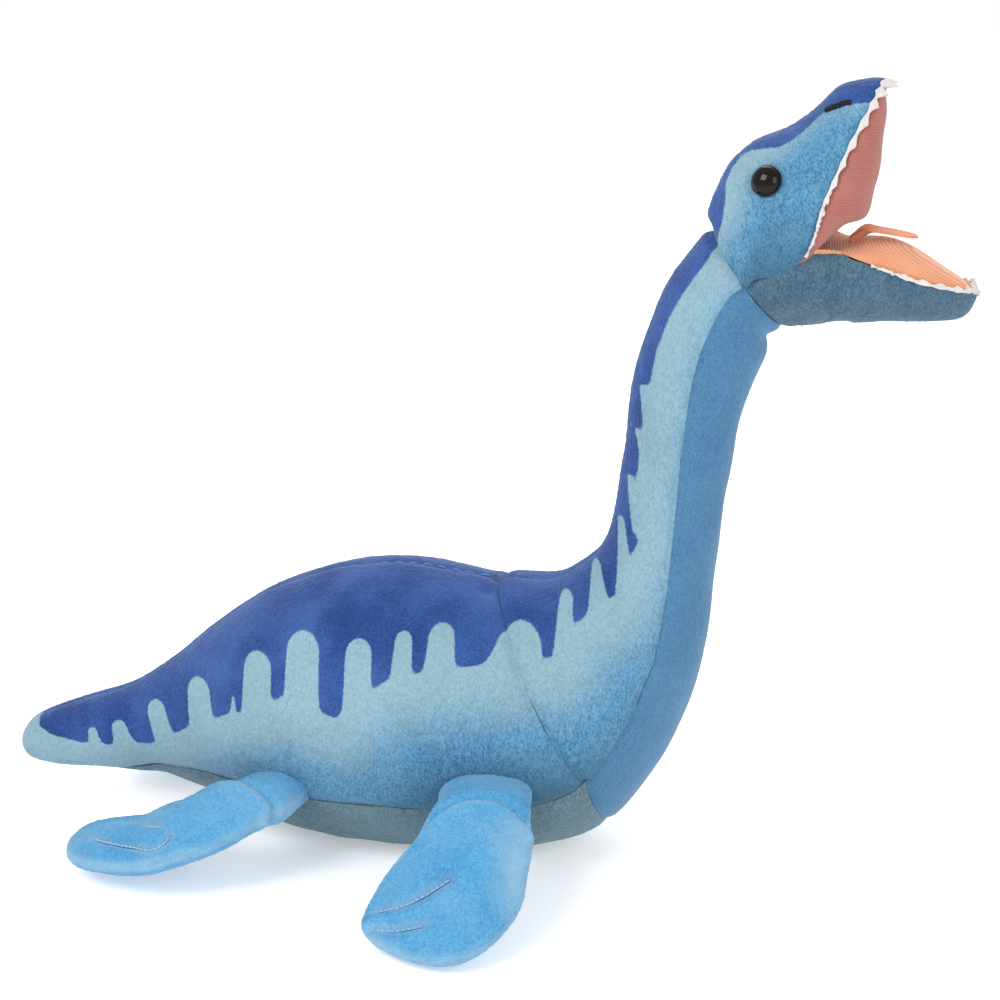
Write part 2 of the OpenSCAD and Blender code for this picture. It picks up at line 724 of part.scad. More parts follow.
body_panel_right();
body_panel_left();
neck_panel_right();
neck_panel_left();
throat_panel();
belly_panel();
body_stuffing();
neck_stuffing();
head_panel_right();
head_panel_left();
palate_lining();
upper_teeth();
head_stuffing();
eye_right();
eye_left();
eye_washer_right();
eye_washer_left();
nostril_right();
nostril_left();
jaw_panel_back();
jaw_panel();
jaw_lining();
lower_teeth();
jaw_stuffing();
tongue();
front_flipper_right_upper();
front_flipper_right_lower();
front_flipper_right_stuffing();
front_flipper_right_toe_stitches();
front_flipper_left_upper();
front_flipper_left_lower();
front_flipper_left_stuffing();
front_flipper_left_toe_stitches();
rear_flipper_right_upper();
rear_flipper_right_lower();
rear_flipper_right_stuffing();
rear_flipper_right_toe_stitches();
rear_flipper_left_upper();
rear_flipper_left_lower();
rear_flipper_left_stuffing();
rear_flipper_left_toe_stitches();
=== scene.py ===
"""Looks of a stuffed plesiosaur: printed plush skins, knitted mouth linings, felt teeth, stitched flippers.

Sizes in the classes are in millimetres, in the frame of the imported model: +X to the nose, +Z up and -Y to the
animal's right. Each skin is its own closed sheet of cloth, cut at the seams of the real toy.
"""

import logging
import math
from dataclasses import dataclass
from enum import Enum
from typing import Callable, Sequence

import bpy
import numpy as np
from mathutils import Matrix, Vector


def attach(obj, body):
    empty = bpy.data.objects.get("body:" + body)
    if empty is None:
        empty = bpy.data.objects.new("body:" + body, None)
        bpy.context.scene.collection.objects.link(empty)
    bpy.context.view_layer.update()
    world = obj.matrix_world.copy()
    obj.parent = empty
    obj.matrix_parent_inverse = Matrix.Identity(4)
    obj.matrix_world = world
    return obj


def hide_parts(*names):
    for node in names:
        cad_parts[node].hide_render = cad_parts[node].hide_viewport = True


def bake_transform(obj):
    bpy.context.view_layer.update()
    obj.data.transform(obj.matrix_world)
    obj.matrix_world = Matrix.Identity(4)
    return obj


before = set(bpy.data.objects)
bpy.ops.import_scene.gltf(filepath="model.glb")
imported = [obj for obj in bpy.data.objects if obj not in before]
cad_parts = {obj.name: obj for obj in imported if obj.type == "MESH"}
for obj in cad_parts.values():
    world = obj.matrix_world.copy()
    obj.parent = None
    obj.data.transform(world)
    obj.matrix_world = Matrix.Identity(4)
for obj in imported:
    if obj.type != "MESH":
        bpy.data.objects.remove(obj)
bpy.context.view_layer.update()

MM = 0.001
LAY = "cloth_place"
PALE = "pale_print"
# distance below the print line, which also sets where shade is painted lower down
BELOW_PRINT_AND_SHADE = "below_print"
RUB = "rubbed"
SEWN = "_sewn"
Array = np.ndarray
Place = Callable[[Array, Array, Array], Array]
log = logging.getLogger("plesiosaur")


class Side(Enum):
    """The animal's own right or left side, with the sign of Y there."""

    RIGHT = -1
    LEFT = 1

    @property
    def word(self) -> str:
        """The side as it stands in the names of nodes and bodies."""
        return self.name.lower()


# ---------- Shader maths ----------


@dataclass(frozen=True)
class Flow:
    """A value that runs through a material, with arithmetic that adds the nodes it needs."""

    bench: "Bench"
    socket: bpy.types.NodeSocket

    def math(self, operation: str, *values: object) -> "Flow":
        """A Math node on some values.

        Args:
            operation: the node's operation.
            values: numbers or flows, in the order of its sockets.

        Returns:
            The result as a flow.
        """
        return self.bench.node("ShaderNodeMath", {"operation": operation}, dict(enumerate(values)))

    def __add__(self, other: object) -> "Flow":
        """The sum."""
        return self.math("ADD", self, other)

    def __radd__(self, other: object) -> "Flow":
        """The sum, from the right."""
        return self.math("ADD", other, self)

    def __sub__(self, other: object) -> "Flow":
        """The difference."""
        return self.math("SUBTRACT", self, other)

    def __rsub__(self, other: object) -> "Flow":
        """The difference, from the right."""
        return self.math("SUBTRACT", other, self)

    def __mul__(self, other: object) -> "Flow":
        """The product."""
        return self.math("MULTIPLY", self, other)

    def __rmul__(self, other: object) -> "Flow":
        """The product, from the right."""
        return self.math("MULTIPLY", other, self)

    def ramp(self, low: float, high: float) -> "Flow":
        """A smooth step from 0 at low to 1 at high."""
        settings = {"interpolation_type": "SMOOTHSTEP"}
        return self.bench.node("ShaderNodeMapRange", settings, {0: self, 1: low, 2: high, 3: 0.0, 4: 1.0})


@dataclass
class Bench:
    """The node tree of one material."""

    tree: bpy.types.NodeTree

    def node(self, kind: str, settings: dict[str, object], inputs: dict[object, object],
             out: int = 0) -> Flow:
        """Adds one node.

        Args:
            kind: the node's type.
            settings: its properties, set first.
            inputs: values or flows by socket name or number.
            out: the output wanted.

        Returns:
            That output.
        """
        made = self.tree.nodes.new(kind)
        for key, value in settings.items():
            setattr(made, key, value)
        for key, value in inputs.items():
            if isinstance(value, Flow):
                self.tree.links.new(value.socket, made.inputs[key])
            else:
                made.inputs[key].default_value = value
        return Flow(self, made.outputs[out])

    def attribute(self, name: str, out: int) -> Flow:
        """A value stored on the mesh; output 1 is a vector and 2 a number."""
        return self.node("ShaderNodeAttribute", {"attribute_name": name}, {}, out)

    def noise(self, place: Flow, per_metre: float, detail: float = 2.0, rough: float = 0.5) -> Flow:
        """Cloudy noise from 0 to 1 of a given fineness."""
        inputs = {"Vector": place, "Scale": per_metre, "Detail": detail, "Roughness": rough}
        return self.node("ShaderNodeTexNoise", {}, inputs)

    def stretched(self, place: Flow, scale: Sequence[float]) -> Flow:
        """A place with its axes scaled, so that a pattern runs in streaks."""
        return self.node("ShaderNodeMapping", {}, {"Vector": place, "Scale": tuple(scale)})

    def dye(self, share: object, first: object, second: object) -> Flow:
        """Two colours mixed by a share from 0 to 1."""
        settings = {"data_type": "RGBA", "clamp_factor": True}
        return self.node("ShaderNodeMix", settings, {0: share, 6: first, 7: second}, 2)


Colour = tuple[float, float, float]


def opaque(colour: Colour) -> tuple[float, float, float, float]:
    """A colour with full alpha."""
    return (*colour, 1.0)


def new_bench(name: str) -> tuple[bpy.types.Material, Bench]:
    """An empty material.

    Args:
        name: the material's name.

    Returns:
        The material and its bench, with no nodes yet.
    """
    material = bpy.data.materials.new(name)
    material.use_nodes = True
    material.node_tree.nodes.clear()
    return material, Bench(material.node_tree)


def close_bench(bench: Bench, inputs: dict[str, object]) -> None:
    """Ends a material with a Principled shader.

    Args:
        bench: the material's bench.
        inputs: values and flows by the shader's socket name.
    """
    shader = bench.node("ShaderNodeBsdfPrincipled", {}, inputs)
    end = bench.tree.nodes.new("ShaderNodeOutputMaterial")
    bench.tree.links.new(shader.socket, end.inputs["Surface"])


@dataclass(frozen=True)
class Plush:
    """A short-pile plush: two tones of its pile, and how coarse and glossy it is."""

    name: str
    deep: Colour
    light: Colour
    worn: Colour
    grain: float = 1250.0
    streak: tuple[float, float, float] = (1.0, 1.0, 0.62)
    depth: float = 0.9
    sheen: float = 0.26
    printed: bool = False
    dark_deep: Colour = (0.010, 0.036, 0.165)
    dark_light: Colour = (0.036, 0.095, 0.30)
    near_edge: Colour = (0.25, 0.40, 0.48)
    # painted shade: the colour that printed cloth darkens towards, far below the print line
    low: Colour = (0.022, 0.062, 0.10)

    def material(self) -> bpy.types.Material:
        """The finish as a material.

        Returns:
            A new material that reads the cloth's own places and print.
        """
        material, bench = new_bench(self.name)
        place = bench.attribute(LAY, 1)
        pile = bench.noise(bench.stretched(place, self.streak), self.grain, 3.0, 0.62)
        tufts = bench.noise(bench.stretched(place, self.streak), self.grain * 0.34, 2.0, 0.5)
        brushed = bench.noise(place, 42.0, 3.0, 0.55)
        tone = (pile - 0.5) * 1.7 + (tufts - 0.5) * 0.5 + (brushed - 0.5) * 0.6 + 0.5
        rub = bench.attribute(RUB, 2)
        cloth = bench.dye(tone.ramp(0.0, 1.0), opaque(self.deep), opaque(self.light))
        if self.printed:
            print_fade_and_shade = bench.attribute(BELOW_PRINT_AND_SHADE, 2) + (brushed - 0.5) * 16.0
            tips = bench.dye(tone.ramp(0.0, 1.0), opaque(tuple(0.70 * c for c in self.near_edge)),
                             opaque(self.near_edge))
            cloth = bench.dye(print_fade_and_shade.ramp(4.0, 34.0), tips, cloth)
            # painted shade: far below the print line the cloth darkens towards the low colour
            cloth = bench.dye(print_fade_and_shade.ramp(27.0, 72.0) * 0.85, cloth, opaque(self.low))
            ink = bench.dye(((pile - 0.5) * 1.5 + (brushed - 0.5) * 1.6 + 0.5).ramp(0.0, 1.0),
                            opaque(self.dark_deep), opaque(self.dark_light))
            ragged = bench.attribute(PALE, 2) + (pile - 0.5) * 0.9
            cloth = bench.dye(ragged.ramp(-0.35, 0.45), ink, cloth)
        cloth = bench.dye(rub * 0.55, cloth, opaque(self.worn))
        relief = pile * 0.55 + tufts * 0.8
        bump = bench.node("ShaderNodeBump", {}, {"Strength": 0.75, "Distance": self.depth * MM,
                                                 "Height": relief})
        close_bench(bench, {
            "Base Color": cloth, "Normal": bump, "Roughness": 0.86, "Sheen Weight": self.sheen,
            "Sheen Roughness": 0.45, "Sheen Tint": opaque((0.72, 0.86, 1.0)), "Specular IOR Level": 0.18,
        })
        return material


@dataclass(frozen=True)
class Knit:
    """A fine ribbed knit for the inside of the mouth."""

    name: str
    deep: Colour
    light: Colour
    ribs: float
    slant: float

    def material(self) -> bpy.types.Material:
        """The finish as a material with rows of ribs that follow the cloth's own map.

        Returns:
            A new material.
        """
        material, bench = new_bench(self.name)
        place = bench.attribute(LAY, 1)
        turned = bench.node("ShaderNodeMapping", {}, {"Vector": place, "Rotation": (0.0, self.slant, 0.0)})
        wave = {"wave_type": "BANDS", "bands_direction": "X", "wave_profile": "SIN"}
        rib = bench.node("ShaderNodeTexWave", wave, {"Vector": turned, "Scale": self.ribs, "Distortion": 0.5,
                                                     "Detail": 1.0, "Detail Scale": 1.5}, 1)
        cross = {"wave_type": "BANDS", "bands_direction": "Y", "wave_profile": "SIN"}
        loop = bench.node("ShaderNodeTexWave", cross, {"Vector": turned, "Scale": self.ribs * 1.4,
                                                       "Distortion": 0.8},
                          1)
        cloud = bench.noise(place, 60.0)
        fibre = bench.noise(place, 1400.0, 2.0, 0.6)
        weave = rib * 0.62 + loop * 0.20 + fibre * 0.25
        tone = (weave * 0.8 + (cloud - 0.5) * 0.5).ramp(0.0, 0.9)
        bump = bench.node("ShaderNodeBump", {}, {"Strength": 0.65, "Distance": 0.35 * MM, "Height": weave})
        close_bench(bench, {
            "Base Color": bench.dye(tone, opaque(self.deep), opaque(self.light)), "Normal": bump,
            "Roughness": 0.82,
            "Sheen Weight": 0.2, "Sheen Roughness": 0.5, "Specular IOR Level": 0.2,
        })
        return material


@dataclass(frozen=True)
class Fibre:
    """A plain fibrous finish: felt, thread or filling, in two tones."""

    name: str
    deep: Colour
    light: Colour
    grain: float
    depth: float
    roughness: float = 0.85
    sheen: float = 0.25

    def material(self) -> bpy.types.Material:
        """The finish as a material.

        Returns:
            A new material with matted fibres.
        """
        material, bench = new_bench(self.name)
        place = bench.node("ShaderNodeTexCoord", {}, {}, 3)
        mat = bench.noise(place, self.grain, 4.0, 0.65)
        cloud = bench.noise(place, self.grain * 0.12, 2.0)
        tone = (mat * 0.7 + cloud * 0.5 - 0.1).ramp(0.1, 0.9)
        bump = bench.node("ShaderNodeBump", {}, {"Strength": 0.6, "Distance": self.depth * MM, "Height": mat})
        close_bench(bench, {
            "Base Color": bench.dye(tone, opaque(self.deep), opaque(self.light)), "Normal": bump,
            "Roughness": self.roughness, "Sheen Weight": self.sheen, "Specular IOR Level": 0.25,
        })
        return material


@dataclass(frozen=True)
class Gloss:
    """The clear-coated plastic of the safety eyes."""

    name: str
    deep: Colour
    light: Colour

    def material(self) -> bpy.types.Material:
        """The finish as a material with a faint brown depth and fine handling marks.

        Returns:
            A new material.
        """
        material, bench = new_bench(self.name)
        place = bench.node("ShaderNodeTexCoord", {}, {}, 3)
        cloud = bench.noise(place, 120.0, 2.0)
        marks = bench.noise(bench.stretched(place, (1.0, 1.0, 6.0)), 900.0, 3.0)
        close_bench(bench, {
            "Base Color": bench.dye(cloud, opaque(self.deep), opaque(self.light)),
            "Roughness": marks * 0.06 + 0.04,
            "Coat Weight": 0.22, "Coat Roughness": 0.03, "Specular IOR Level": 0.10,
        })
        return material


BODY_PLUSH = Plush("printed_plush", (0.024, 0.12, 0.24), (0.125, 0.31, 0.47), (0.30, 0.45, 0.53),
                   printed=True)
THROAT_PLUSH = Plush("throat_plush", (0.036, 0.118, 0.235), (0.078, 0.20, 0.34), (0.20, 0.36, 0.50),
                     grain=1600.0,
                     depth=0.35, sheen=0.25)
BELLY_PLUSH = Plush("belly_plush", (0.055, 0.105, 0.130), (0.14, 0.225, 0.265), (0.20, 0.28, 0.32), depth=0.7)
JAW_PLUSH = Plush("jaw_plush", (0.024, 0.062, 0.105), (0.085, 0.155, 0.215), (0.14, 0.22, 0.29))
FLIPPER_PLUSH = Plush("flipper_plush", (0.035, 0.215, 0.44), (0.120, 0.36, 0.575), (0.30, 0.46, 0.58),
                      depth=0.8)
# painted shade: the palate knit is a darker tone than the jaw lining's, as the roof of the mouth faces down
# into shade
SHADED_PALATE_KNIT = Knit("palate_knit", (0.28, 0.085, 0.07), (0.44, 0.175, 0.145), 400.0, math.radians(82.0))
JAW_KNIT = Knit("jaw_knit", (0.54, 0.20, 0.10), (0.76, 0.37, 0.21), 400.0, math.radians(58.0))
TOOTH_FELT = Fibre("tooth_felt", (0.46, 0.44, 0.43), (0.66, 0.63, 0.62), 1500.0, 0.25)
TONGUE_FELT = Fibre("tongue_felt", (0.55, 0.17, 0.08), (0.78, 0.33, 0.18), 1500.0, 0.2)
BLACK_THREAD = Fibre("black_thread", (0.002, 0.002, 0.003), (0.010, 0.010, 0.013), 2600.0, 0.15, 0.5, 0.0)
TOE_THREAD = Fibre("toe_thread", (0.20, 0.40, 0.60), (0.32, 0.54, 0.72), 2200.0, 0.15, 0.6)
SEAM_THREAD = Fibre("seam_thread", (0.06, 0.13, 0.34), (0.12, 0.24, 0.48), 2200.0, 0.15, 0.6)
WASHER_PLASTIC = Fibre("eye_washer", (0.70, 0.70, 0.68), (0.84, 0.84, 0.82), 500.0, 0.05, 0.45, 0.0)
EYE_GLOSS = Gloss("eye_gloss", (0.001, 0.001, 0.0012), (0.012, 0.006, 0.004))


# ---------- Curves and lofts ----------


def mix(a: object, b: object, t: object) -> object:
    """The value a share t of the way from a to b."""
    return a + (b - a) * t


def along_rows(rows: Array, u: Array) -> Array:
    """A smooth curve through rows of numbers.

    Args:
        rows: one row per station.
        u: places along the rows, counted in rows.

    Returns:
        The values at u, with one more axis for the columns.
    """
    ends = np.vstack([2 * rows[0] - rows[1], rows, 2 * rows[-1] - rows[-2]])
    i = np.clip(np.floor(u).astype(int), 0, len(rows) - 2)
    t = (u - i)[..., None]
    p0, p1, p2, p3 = (ends[i + k] for k in range(4))
    return 0.5 * (2 * p1 + (p2 - p0) * t + (2 * p0 - 5 * p1 + 4 * p2 - p3) * t * t
                  + (3 * p1 - p0 - 3 * p2 + p3) * t**3)


def even_steps(distance: Array, u: Array, wanted: Array) -> Array:
    """Places along a curve at given shares of its length.

    Args:
        distance: length along the curve at each u.
        u: places along the rows.
        wanted: lengths to find.

    Returns:
        The places u at those lengths.
    """
    return np.interp(wanted, distance, u)


@dataclass(frozen=True)
class Loft:
    """Sections along a line in the plane of symmetry: x, z, slope, half height above, below, and half width.

    Angle 0 is the back, 90 the right side and 180 the underside. Depth is measured in from the surface.
    """

    rows: tuple[tuple[float, ...], ...]

    def point(self, u: Array, angle: Array, depth: Array) -> Array:
        """Points of the surface or under it.

        Args:
            u: place along the rows.
            angle: angle round the section in degrees.
            depth: distance in from the surface.

        Returns:
            Points in millimetres.
        """
        row = along_rows(np.array([r[:6] for r in self.rows], float), u)
        turn, slope = np.radians(angle), np.radians(row[..., 2])
        inward = np.minimum(depth, 0.6 * np.minimum(np.minimum(row[..., 3], row[..., 4]), row[..., 5]))
        reach = np.where(np.cos(turn) >= 0, row[..., 3], row[..., 4]) - inward
        return np.stack([row[..., 0] - np.sin(slope) * reach * np.cos(turn),
                         -(row[..., 5] - inward) * np.sin(turn),
                         row[..., 1] + np.cos(slope) * reach * np.cos(turn)], -1)

    def lengths(self, start: float, end: float) -> tuple[Array, Array]:
        """Length along the right side from one row to another.

        Args:
            start: first place along the rows.
            end: last place.

        Returns:
            Places u, and the length there.
        """
        u = np.linspace(start, end, 600)
        side = self.point(u, np.full_like(u, 70.0), np.zeros_like(u))
        step = np.linalg.norm(np.diff(side, axis=0), axis=1) + 0.02
        return u, np.concatenate([[0.0], np.cumsum(step)])


def lumps(points: Array, wavelength: float, seed: int) -> Array:
    """Soft swells of the filling, about -1 to 1, the same on each run.

    Args:
        points: places in millimetres.
        wavelength: the size of a swell.
        seed: which pattern.

    Returns:
        The height of the swells at the points.
    """
    draw = np.random.default_rng(seed)
    waves = draw.normal(size=(9, 3)) * 2 * math.pi / wavelength / 1.7
    shifts = draw.uniform(0, 2 * math.pi, 9)
    return np.sin(points @ waves.T + shifts).sum(-1) / 3.6


# ---------- Cloth ----------


def deselect() -> None:
    """Leaves nothing selected, so that an operator acts only on what comes next."""
    if bpy.context.object and bpy.context.object.mode != "OBJECT":
        bpy.ops.object.mode_set(mode="OBJECT")
    bpy.ops.object.select_all(action="DESELECT")


def take(obj: bpy.types.Object) -> bpy.types.Object:
    """Selects one object alone and makes it active."""
    deselect()
    obj.select_set(True)
    bpy.context.view_layer.objects.active = obj
    return obj


def corners(obj: bpy.types.Object) -> Array:
    """The mesh's vertices as an array."""
    co = np.zeros(len(obj.data.vertices) * 3)
    obj.data.vertices.foreach_get("co", co)
    return co.reshape(-1, 3)


def move_corners(obj: bpy.types.Object, points: Array) -> None:
    """Puts the mesh's vertices at new points, in metres."""
    obj.data.vertices.foreach_set("co", points.astype(np.float32).ravel())
    obj.data.update()


def store(obj: bpy.types.Object, name: str, values: Array) -> None:
    """Stores a number or a vector for each vertex."""
    vector = values.ndim == 2
    kind = "FLOAT_VECTOR" if vector else "FLOAT"
    kept = obj.data.attributes.get(name) or obj.data.attributes.new(name, kind, "POINT")
    kept.data.foreach_set("vector" if vector else "value", values.astype(np.float32).ravel())


def apply(obj: bpy.types.Object, kind: str, **settings: object) -> None:
    """Adds a modifier and applies it.

    Args:
        obj: the object.
        kind: the modifier's type.
        settings: its properties.
    """
    take(obj)
    modifier = obj.modifiers.new(kind.lower(), kind)
    for key, value in settings.items():
        setattr(modifier, key, value)
    bpy.ops.object.modifier_apply(modifier=modifier.name)


def shade(obj: bpy.types.Object, degrees: float = 50.0) -> None:
    """Smooth shading, with creases sharper than an angle kept."""
    take(obj)
    bpy.ops.object.shade_smooth_by_angle(angle=math.radians(degrees))


def dress(obj: bpy.types.Object, finish: object, materials: dict[str, bpy.types.Material]) -> None:
    """Gives an object one finish.

    Args:
        obj: the object.
        finish: a finish with a name and a material method.
        materials: those made so far, by name.
    """
    if finish.name not in materials:
        materials[finish.name] = finish.material()
    obj.data.materials.clear()
    obj.data.materials.append(materials[finish.name])


@dataclass(frozen=True)
class Seams:
    """How far the cloth is drawn in at its four edges: first and last station, first and last angle."""

    start: float = 1.2
    end: float = 1.2
    first: float = 1.2
    last: float = 1.2
    roll: float = 2.4


@dataclass(frozen=True)
class Cut:
    """One sheet of cloth laid on a surface and given its thickness."""

    name: str
    place: Place
    nu: int
    nv: int
    thick: float = 1.7
    seams: Seams = Seams()
    swell: float = 0.45
    wave: float = 30.0
    fuzz: float = 0.10
    seed: int = 1
    shape: Callable[[Array, Array, Array], Array] | None = None

    def lay(self) -> bpy.types.Object:
        """Makes the sheet.

        Returns:
            A closed shell with the cloth's own places stored on it.
        """
        s, t = np.meshgrid(np.linspace(0, 1, self.nu + 1), np.linspace(0, 1, self.nv + 1), indexing="ij")
        flat = self.place(s, t, np.zeros_like(s))
        depth = self.drawn_in(flat) - self.swell * lumps(flat, self.wave, self.seed)
        if self.shape is not None:
            depth = depth + self.shape(s, t, flat)
        rough = np.random.default_rng(self.seed).normal(size=s.shape) * self.fuzz
        points = self.place(s, t, depth + rough)
        deselect()
        bpy.ops.mesh.primitive_grid_add(x_subdivisions=self.nu, y_subdivisions=self.nv, size=1.0)
        obj = bpy.context.object
        obj.name = obj.data.name = self.name
        co = corners(obj)
        i = np.rint((co[:, 0] + 0.5) * self.nu).astype(int)
        j = np.rint((co[:, 1] + 0.5) * self.nv).astype(int)
        move_corners(obj, points[i, j] * MM)
        outward = flat - self.place(s, t, np.ones_like(s))
        self.face_out(obj, outward[i, j])
        store(obj, LAY, flat[i, j] * MM)
        apply(obj, "SOLIDIFY", thickness=self.thick * MM, offset=-1.0, use_rim=True, use_even_offset=False)
        shade(obj, 60.0)
        return obj

    def drawn_in(self, flat: Array) -> Array:
        """How deep the seams pull each point of the cloth in.

        Args:
            flat: the surface's points.

        Returns:
            The depth at each point.
        """
        depth = np.zeros(flat.shape[:2])
        for axis, (near, far) in enumerate(((self.seams.start, self.seams.end),
                                            (self.seams.first, self.seams.last))):
            step = np.linalg.norm(np.diff(flat, axis=axis), axis=2)
            run = np.cumsum(np.insert(step, 0, 0.0, axis=axis), axis=axis)
            total = run[-1:, :] if axis == 0 else run[:, -1:]
            depth += near * np.exp(-((run / self.seams.roll) ** 2))
            depth += far * np.exp(-(((total - run) / self.seams.roll) ** 2))
        return depth

    @staticmethod
    def face_out(obj: bpy.types.Object, outward: Array) -> None:
        """Turns the faces so that they look away from the filling."""
        total = sum(p.normal.dot(outward[p.vertices[0]]) for p in list(obj.data.polygons)[::7])
        if total < 0:
            take(obj)
            bpy.ops.object.mode_set(mode="EDIT")
            bpy.ops.mesh.select_all(action="SELECT")
            bpy.ops.mesh.flip_normals()
            bpy.ops.object.mode_set(mode="OBJECT")


def mirrored(obj: bpy.types.Object, name: str) -> bpy.types.Object:
    """A copy of a piece for the other side of the toy.

    Args:
        obj: the piece to copy.
        name: the new piece's name.

    Returns:
        The copy, with its own mesh and its faces outward.
    """
    take(obj)
    bpy.ops.object.duplicate()
    twin = bpy.context.object
    twin.name = twin.data.name = name
    twin.scale.y = -1.0
    bpy.ops.object.transform_apply(location=True, rotation=True, scale=True)
    bpy.ops.object.mode_set(mode="EDIT")
    bpy.ops.mesh.select_all(action="SELECT")
    bpy.ops.mesh.flip_normals()
    bpy.ops.object.mode_set(mode="OBJECT")
    return twin


# ---------- Sizes shared by the skins ----------


@dataclass(frozen=True)
class Pattern:
    """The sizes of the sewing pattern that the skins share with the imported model."""

    body_h: float = 125.0
    body_w: float = 106.0
    tail_len: float = 178.0
    tail_d: float = 36.0
    chest_len: float = 110.0
    neck_h: float = 127.0
    neck_lean: float = 29.0
    neck_d: float = 45.0
    neck_end_d: float = 49.0
    head_len: float = 97.0
    head_w: float = 53.0
    crown_h: float = 40.0
    palate_h: float = 17.0
    head_tilt: float = 57.0
    root_z: float = 42.0
    flipper_t: float = 19.0
    body_x: float = -30.31
    neck_end_slope: float = 38.0
    belly_sag: float = 2.5

    @property
    def seam(self) -> tuple[float, float]:
        """X and Z of the middle of the head seam, which the head nods about."""
        return self.body_x + self.chest_len + self.neck_lean, self.body_h + self.neck_h

    def tail_row(self, along: float, z: float, tall: float, wide: float) -> tuple[float, ...]:
        """A section of the tail, a share of its length back from the middle."""
        return self.body_x - self.tail_len * along, z, 0.0, tall, tall, wide

    def chest_row(self, along: float, z: float, slope: float, tall: float, wide: float) -> tuple[float, ...]:
        """A section of the chest, a share of its length forward from the middle."""
        half = self.body_h / 2
        return self.body_x + self.chest_len * along, half * z, slope, tall, tall, wide

    def neck_row(self, rise: float, lean: float, slope: float, tall: float, wide: float) -> tuple[float, ...]:
        """A section of the neck, by shares of its height and lean."""
        foot = self.body_x + self.chest_len
        return foot + self.neck_lean * lean, self.body_h + self.neck_h * rise, slope, tall, tall, wide

    def cap_row(self, rise: float) -> tuple[float, ...]:
        """A section of the neck's round end, a share of its radius past the seam."""
        r, turn = self.neck_end_d / 2, math.radians(self.neck_end_slope)
        small, x, z = r * math.sqrt(1 - rise * rise), *self.seam
        return (x + math.cos(turn) * r * rise, z + math.sin(turn) * r * rise, self.neck_end_slope, small,
                small, small)

    def torso(self) -> Loft:
        """The body, tail and neck as one loft."""
        h, w, t, n, e, z = (self.body_h / 2, self.body_w / 2, self.tail_d / 2, self.neck_d / 2,
                            self.neck_end_d / 2,
                            self.root_z)
        middle = (self.body_x, h - self.belly_sag / 2, 0.0, h + self.belly_sag / 2, h + self.belly_sag / 2, w)
        return Loft((
            self.tail_row(0.985, z * 0.78, t * 0.12, t * 0.12),
            self.tail_row(0.975, z * 0.79, t * 0.34, t * 0.34),
            self.tail_row(0.945, z * 0.82, t * 0.58, t * 0.56),
            self.tail_row(0.84, z * 0.90, t * 0.86, t * 0.82),
            self.tail_row(0.71, h * 0.67, t * 1.08, t), self.tail_row(0.60, h * 0.76, h * 0.42, w * 0.38),
            self.tail_row(0.49, h * 0.85, h * 0.60, w * 0.57),
            self.tail_row(0.35, h * 0.92, h * 0.82, w * 0.80),
            self.tail_row(0.18, h * 0.96, h * 0.97, w * 0.95), middle,
            self.chest_row(0.37, 0.96, 5, h * 0.98, w * 0.98),
            self.chest_row(0.66, 1.06, 12, h * 0.90, w * 0.92),
            self.chest_row(0.825, 1.34, 24, h * 0.745, w * 0.79),
            self.chest_row(0.93, 1.70, 40, h * 0.56, w * 0.63),
            self.chest_row(0.975, 2.04, 58, mix(n, h, 0.10), mix(n, w, 0.14)),
            self.neck_row(0.21, 0.03, 76, n, n * 1.03), self.neck_row(0.47, 0.17, 80, n, n),
            self.neck_row(0.69, 0.34, 77, n * 1.06, n * 1.04), self.neck_row(0.85, 0.60, 62, e, e),
            self.cap_row(-0.24), self.cap_row(0.0), self.cap_row(0.10), self.cap_row(0.18),
        ))


PATTERN = Pattern()


@dataclass(frozen=True)
class Lobe:
    """A round-topped tongue of pale cloth that rises into the dark print of the back."""

    top: tuple[float, float]
    foot: tuple[float, float]
    top_r: float
    foot_r: float

    def reach(self, x: Array, z: Array) -> Array:
        """How far inside the lobe each point is, in millimetres; negative outside."""
        top, foot = np.array(self.top), np.array(self.foot)
        run = foot - top
        share = np.clip(((x - top[0]) * run[0] + (z - top[1]) * run[1]) / (run @ run), 0, 1)
        away = np.hypot(x - top[0] - share * run[0], z - top[1] - share * run[1])
        return mix(self.top_r, self.foot_r, share) - away


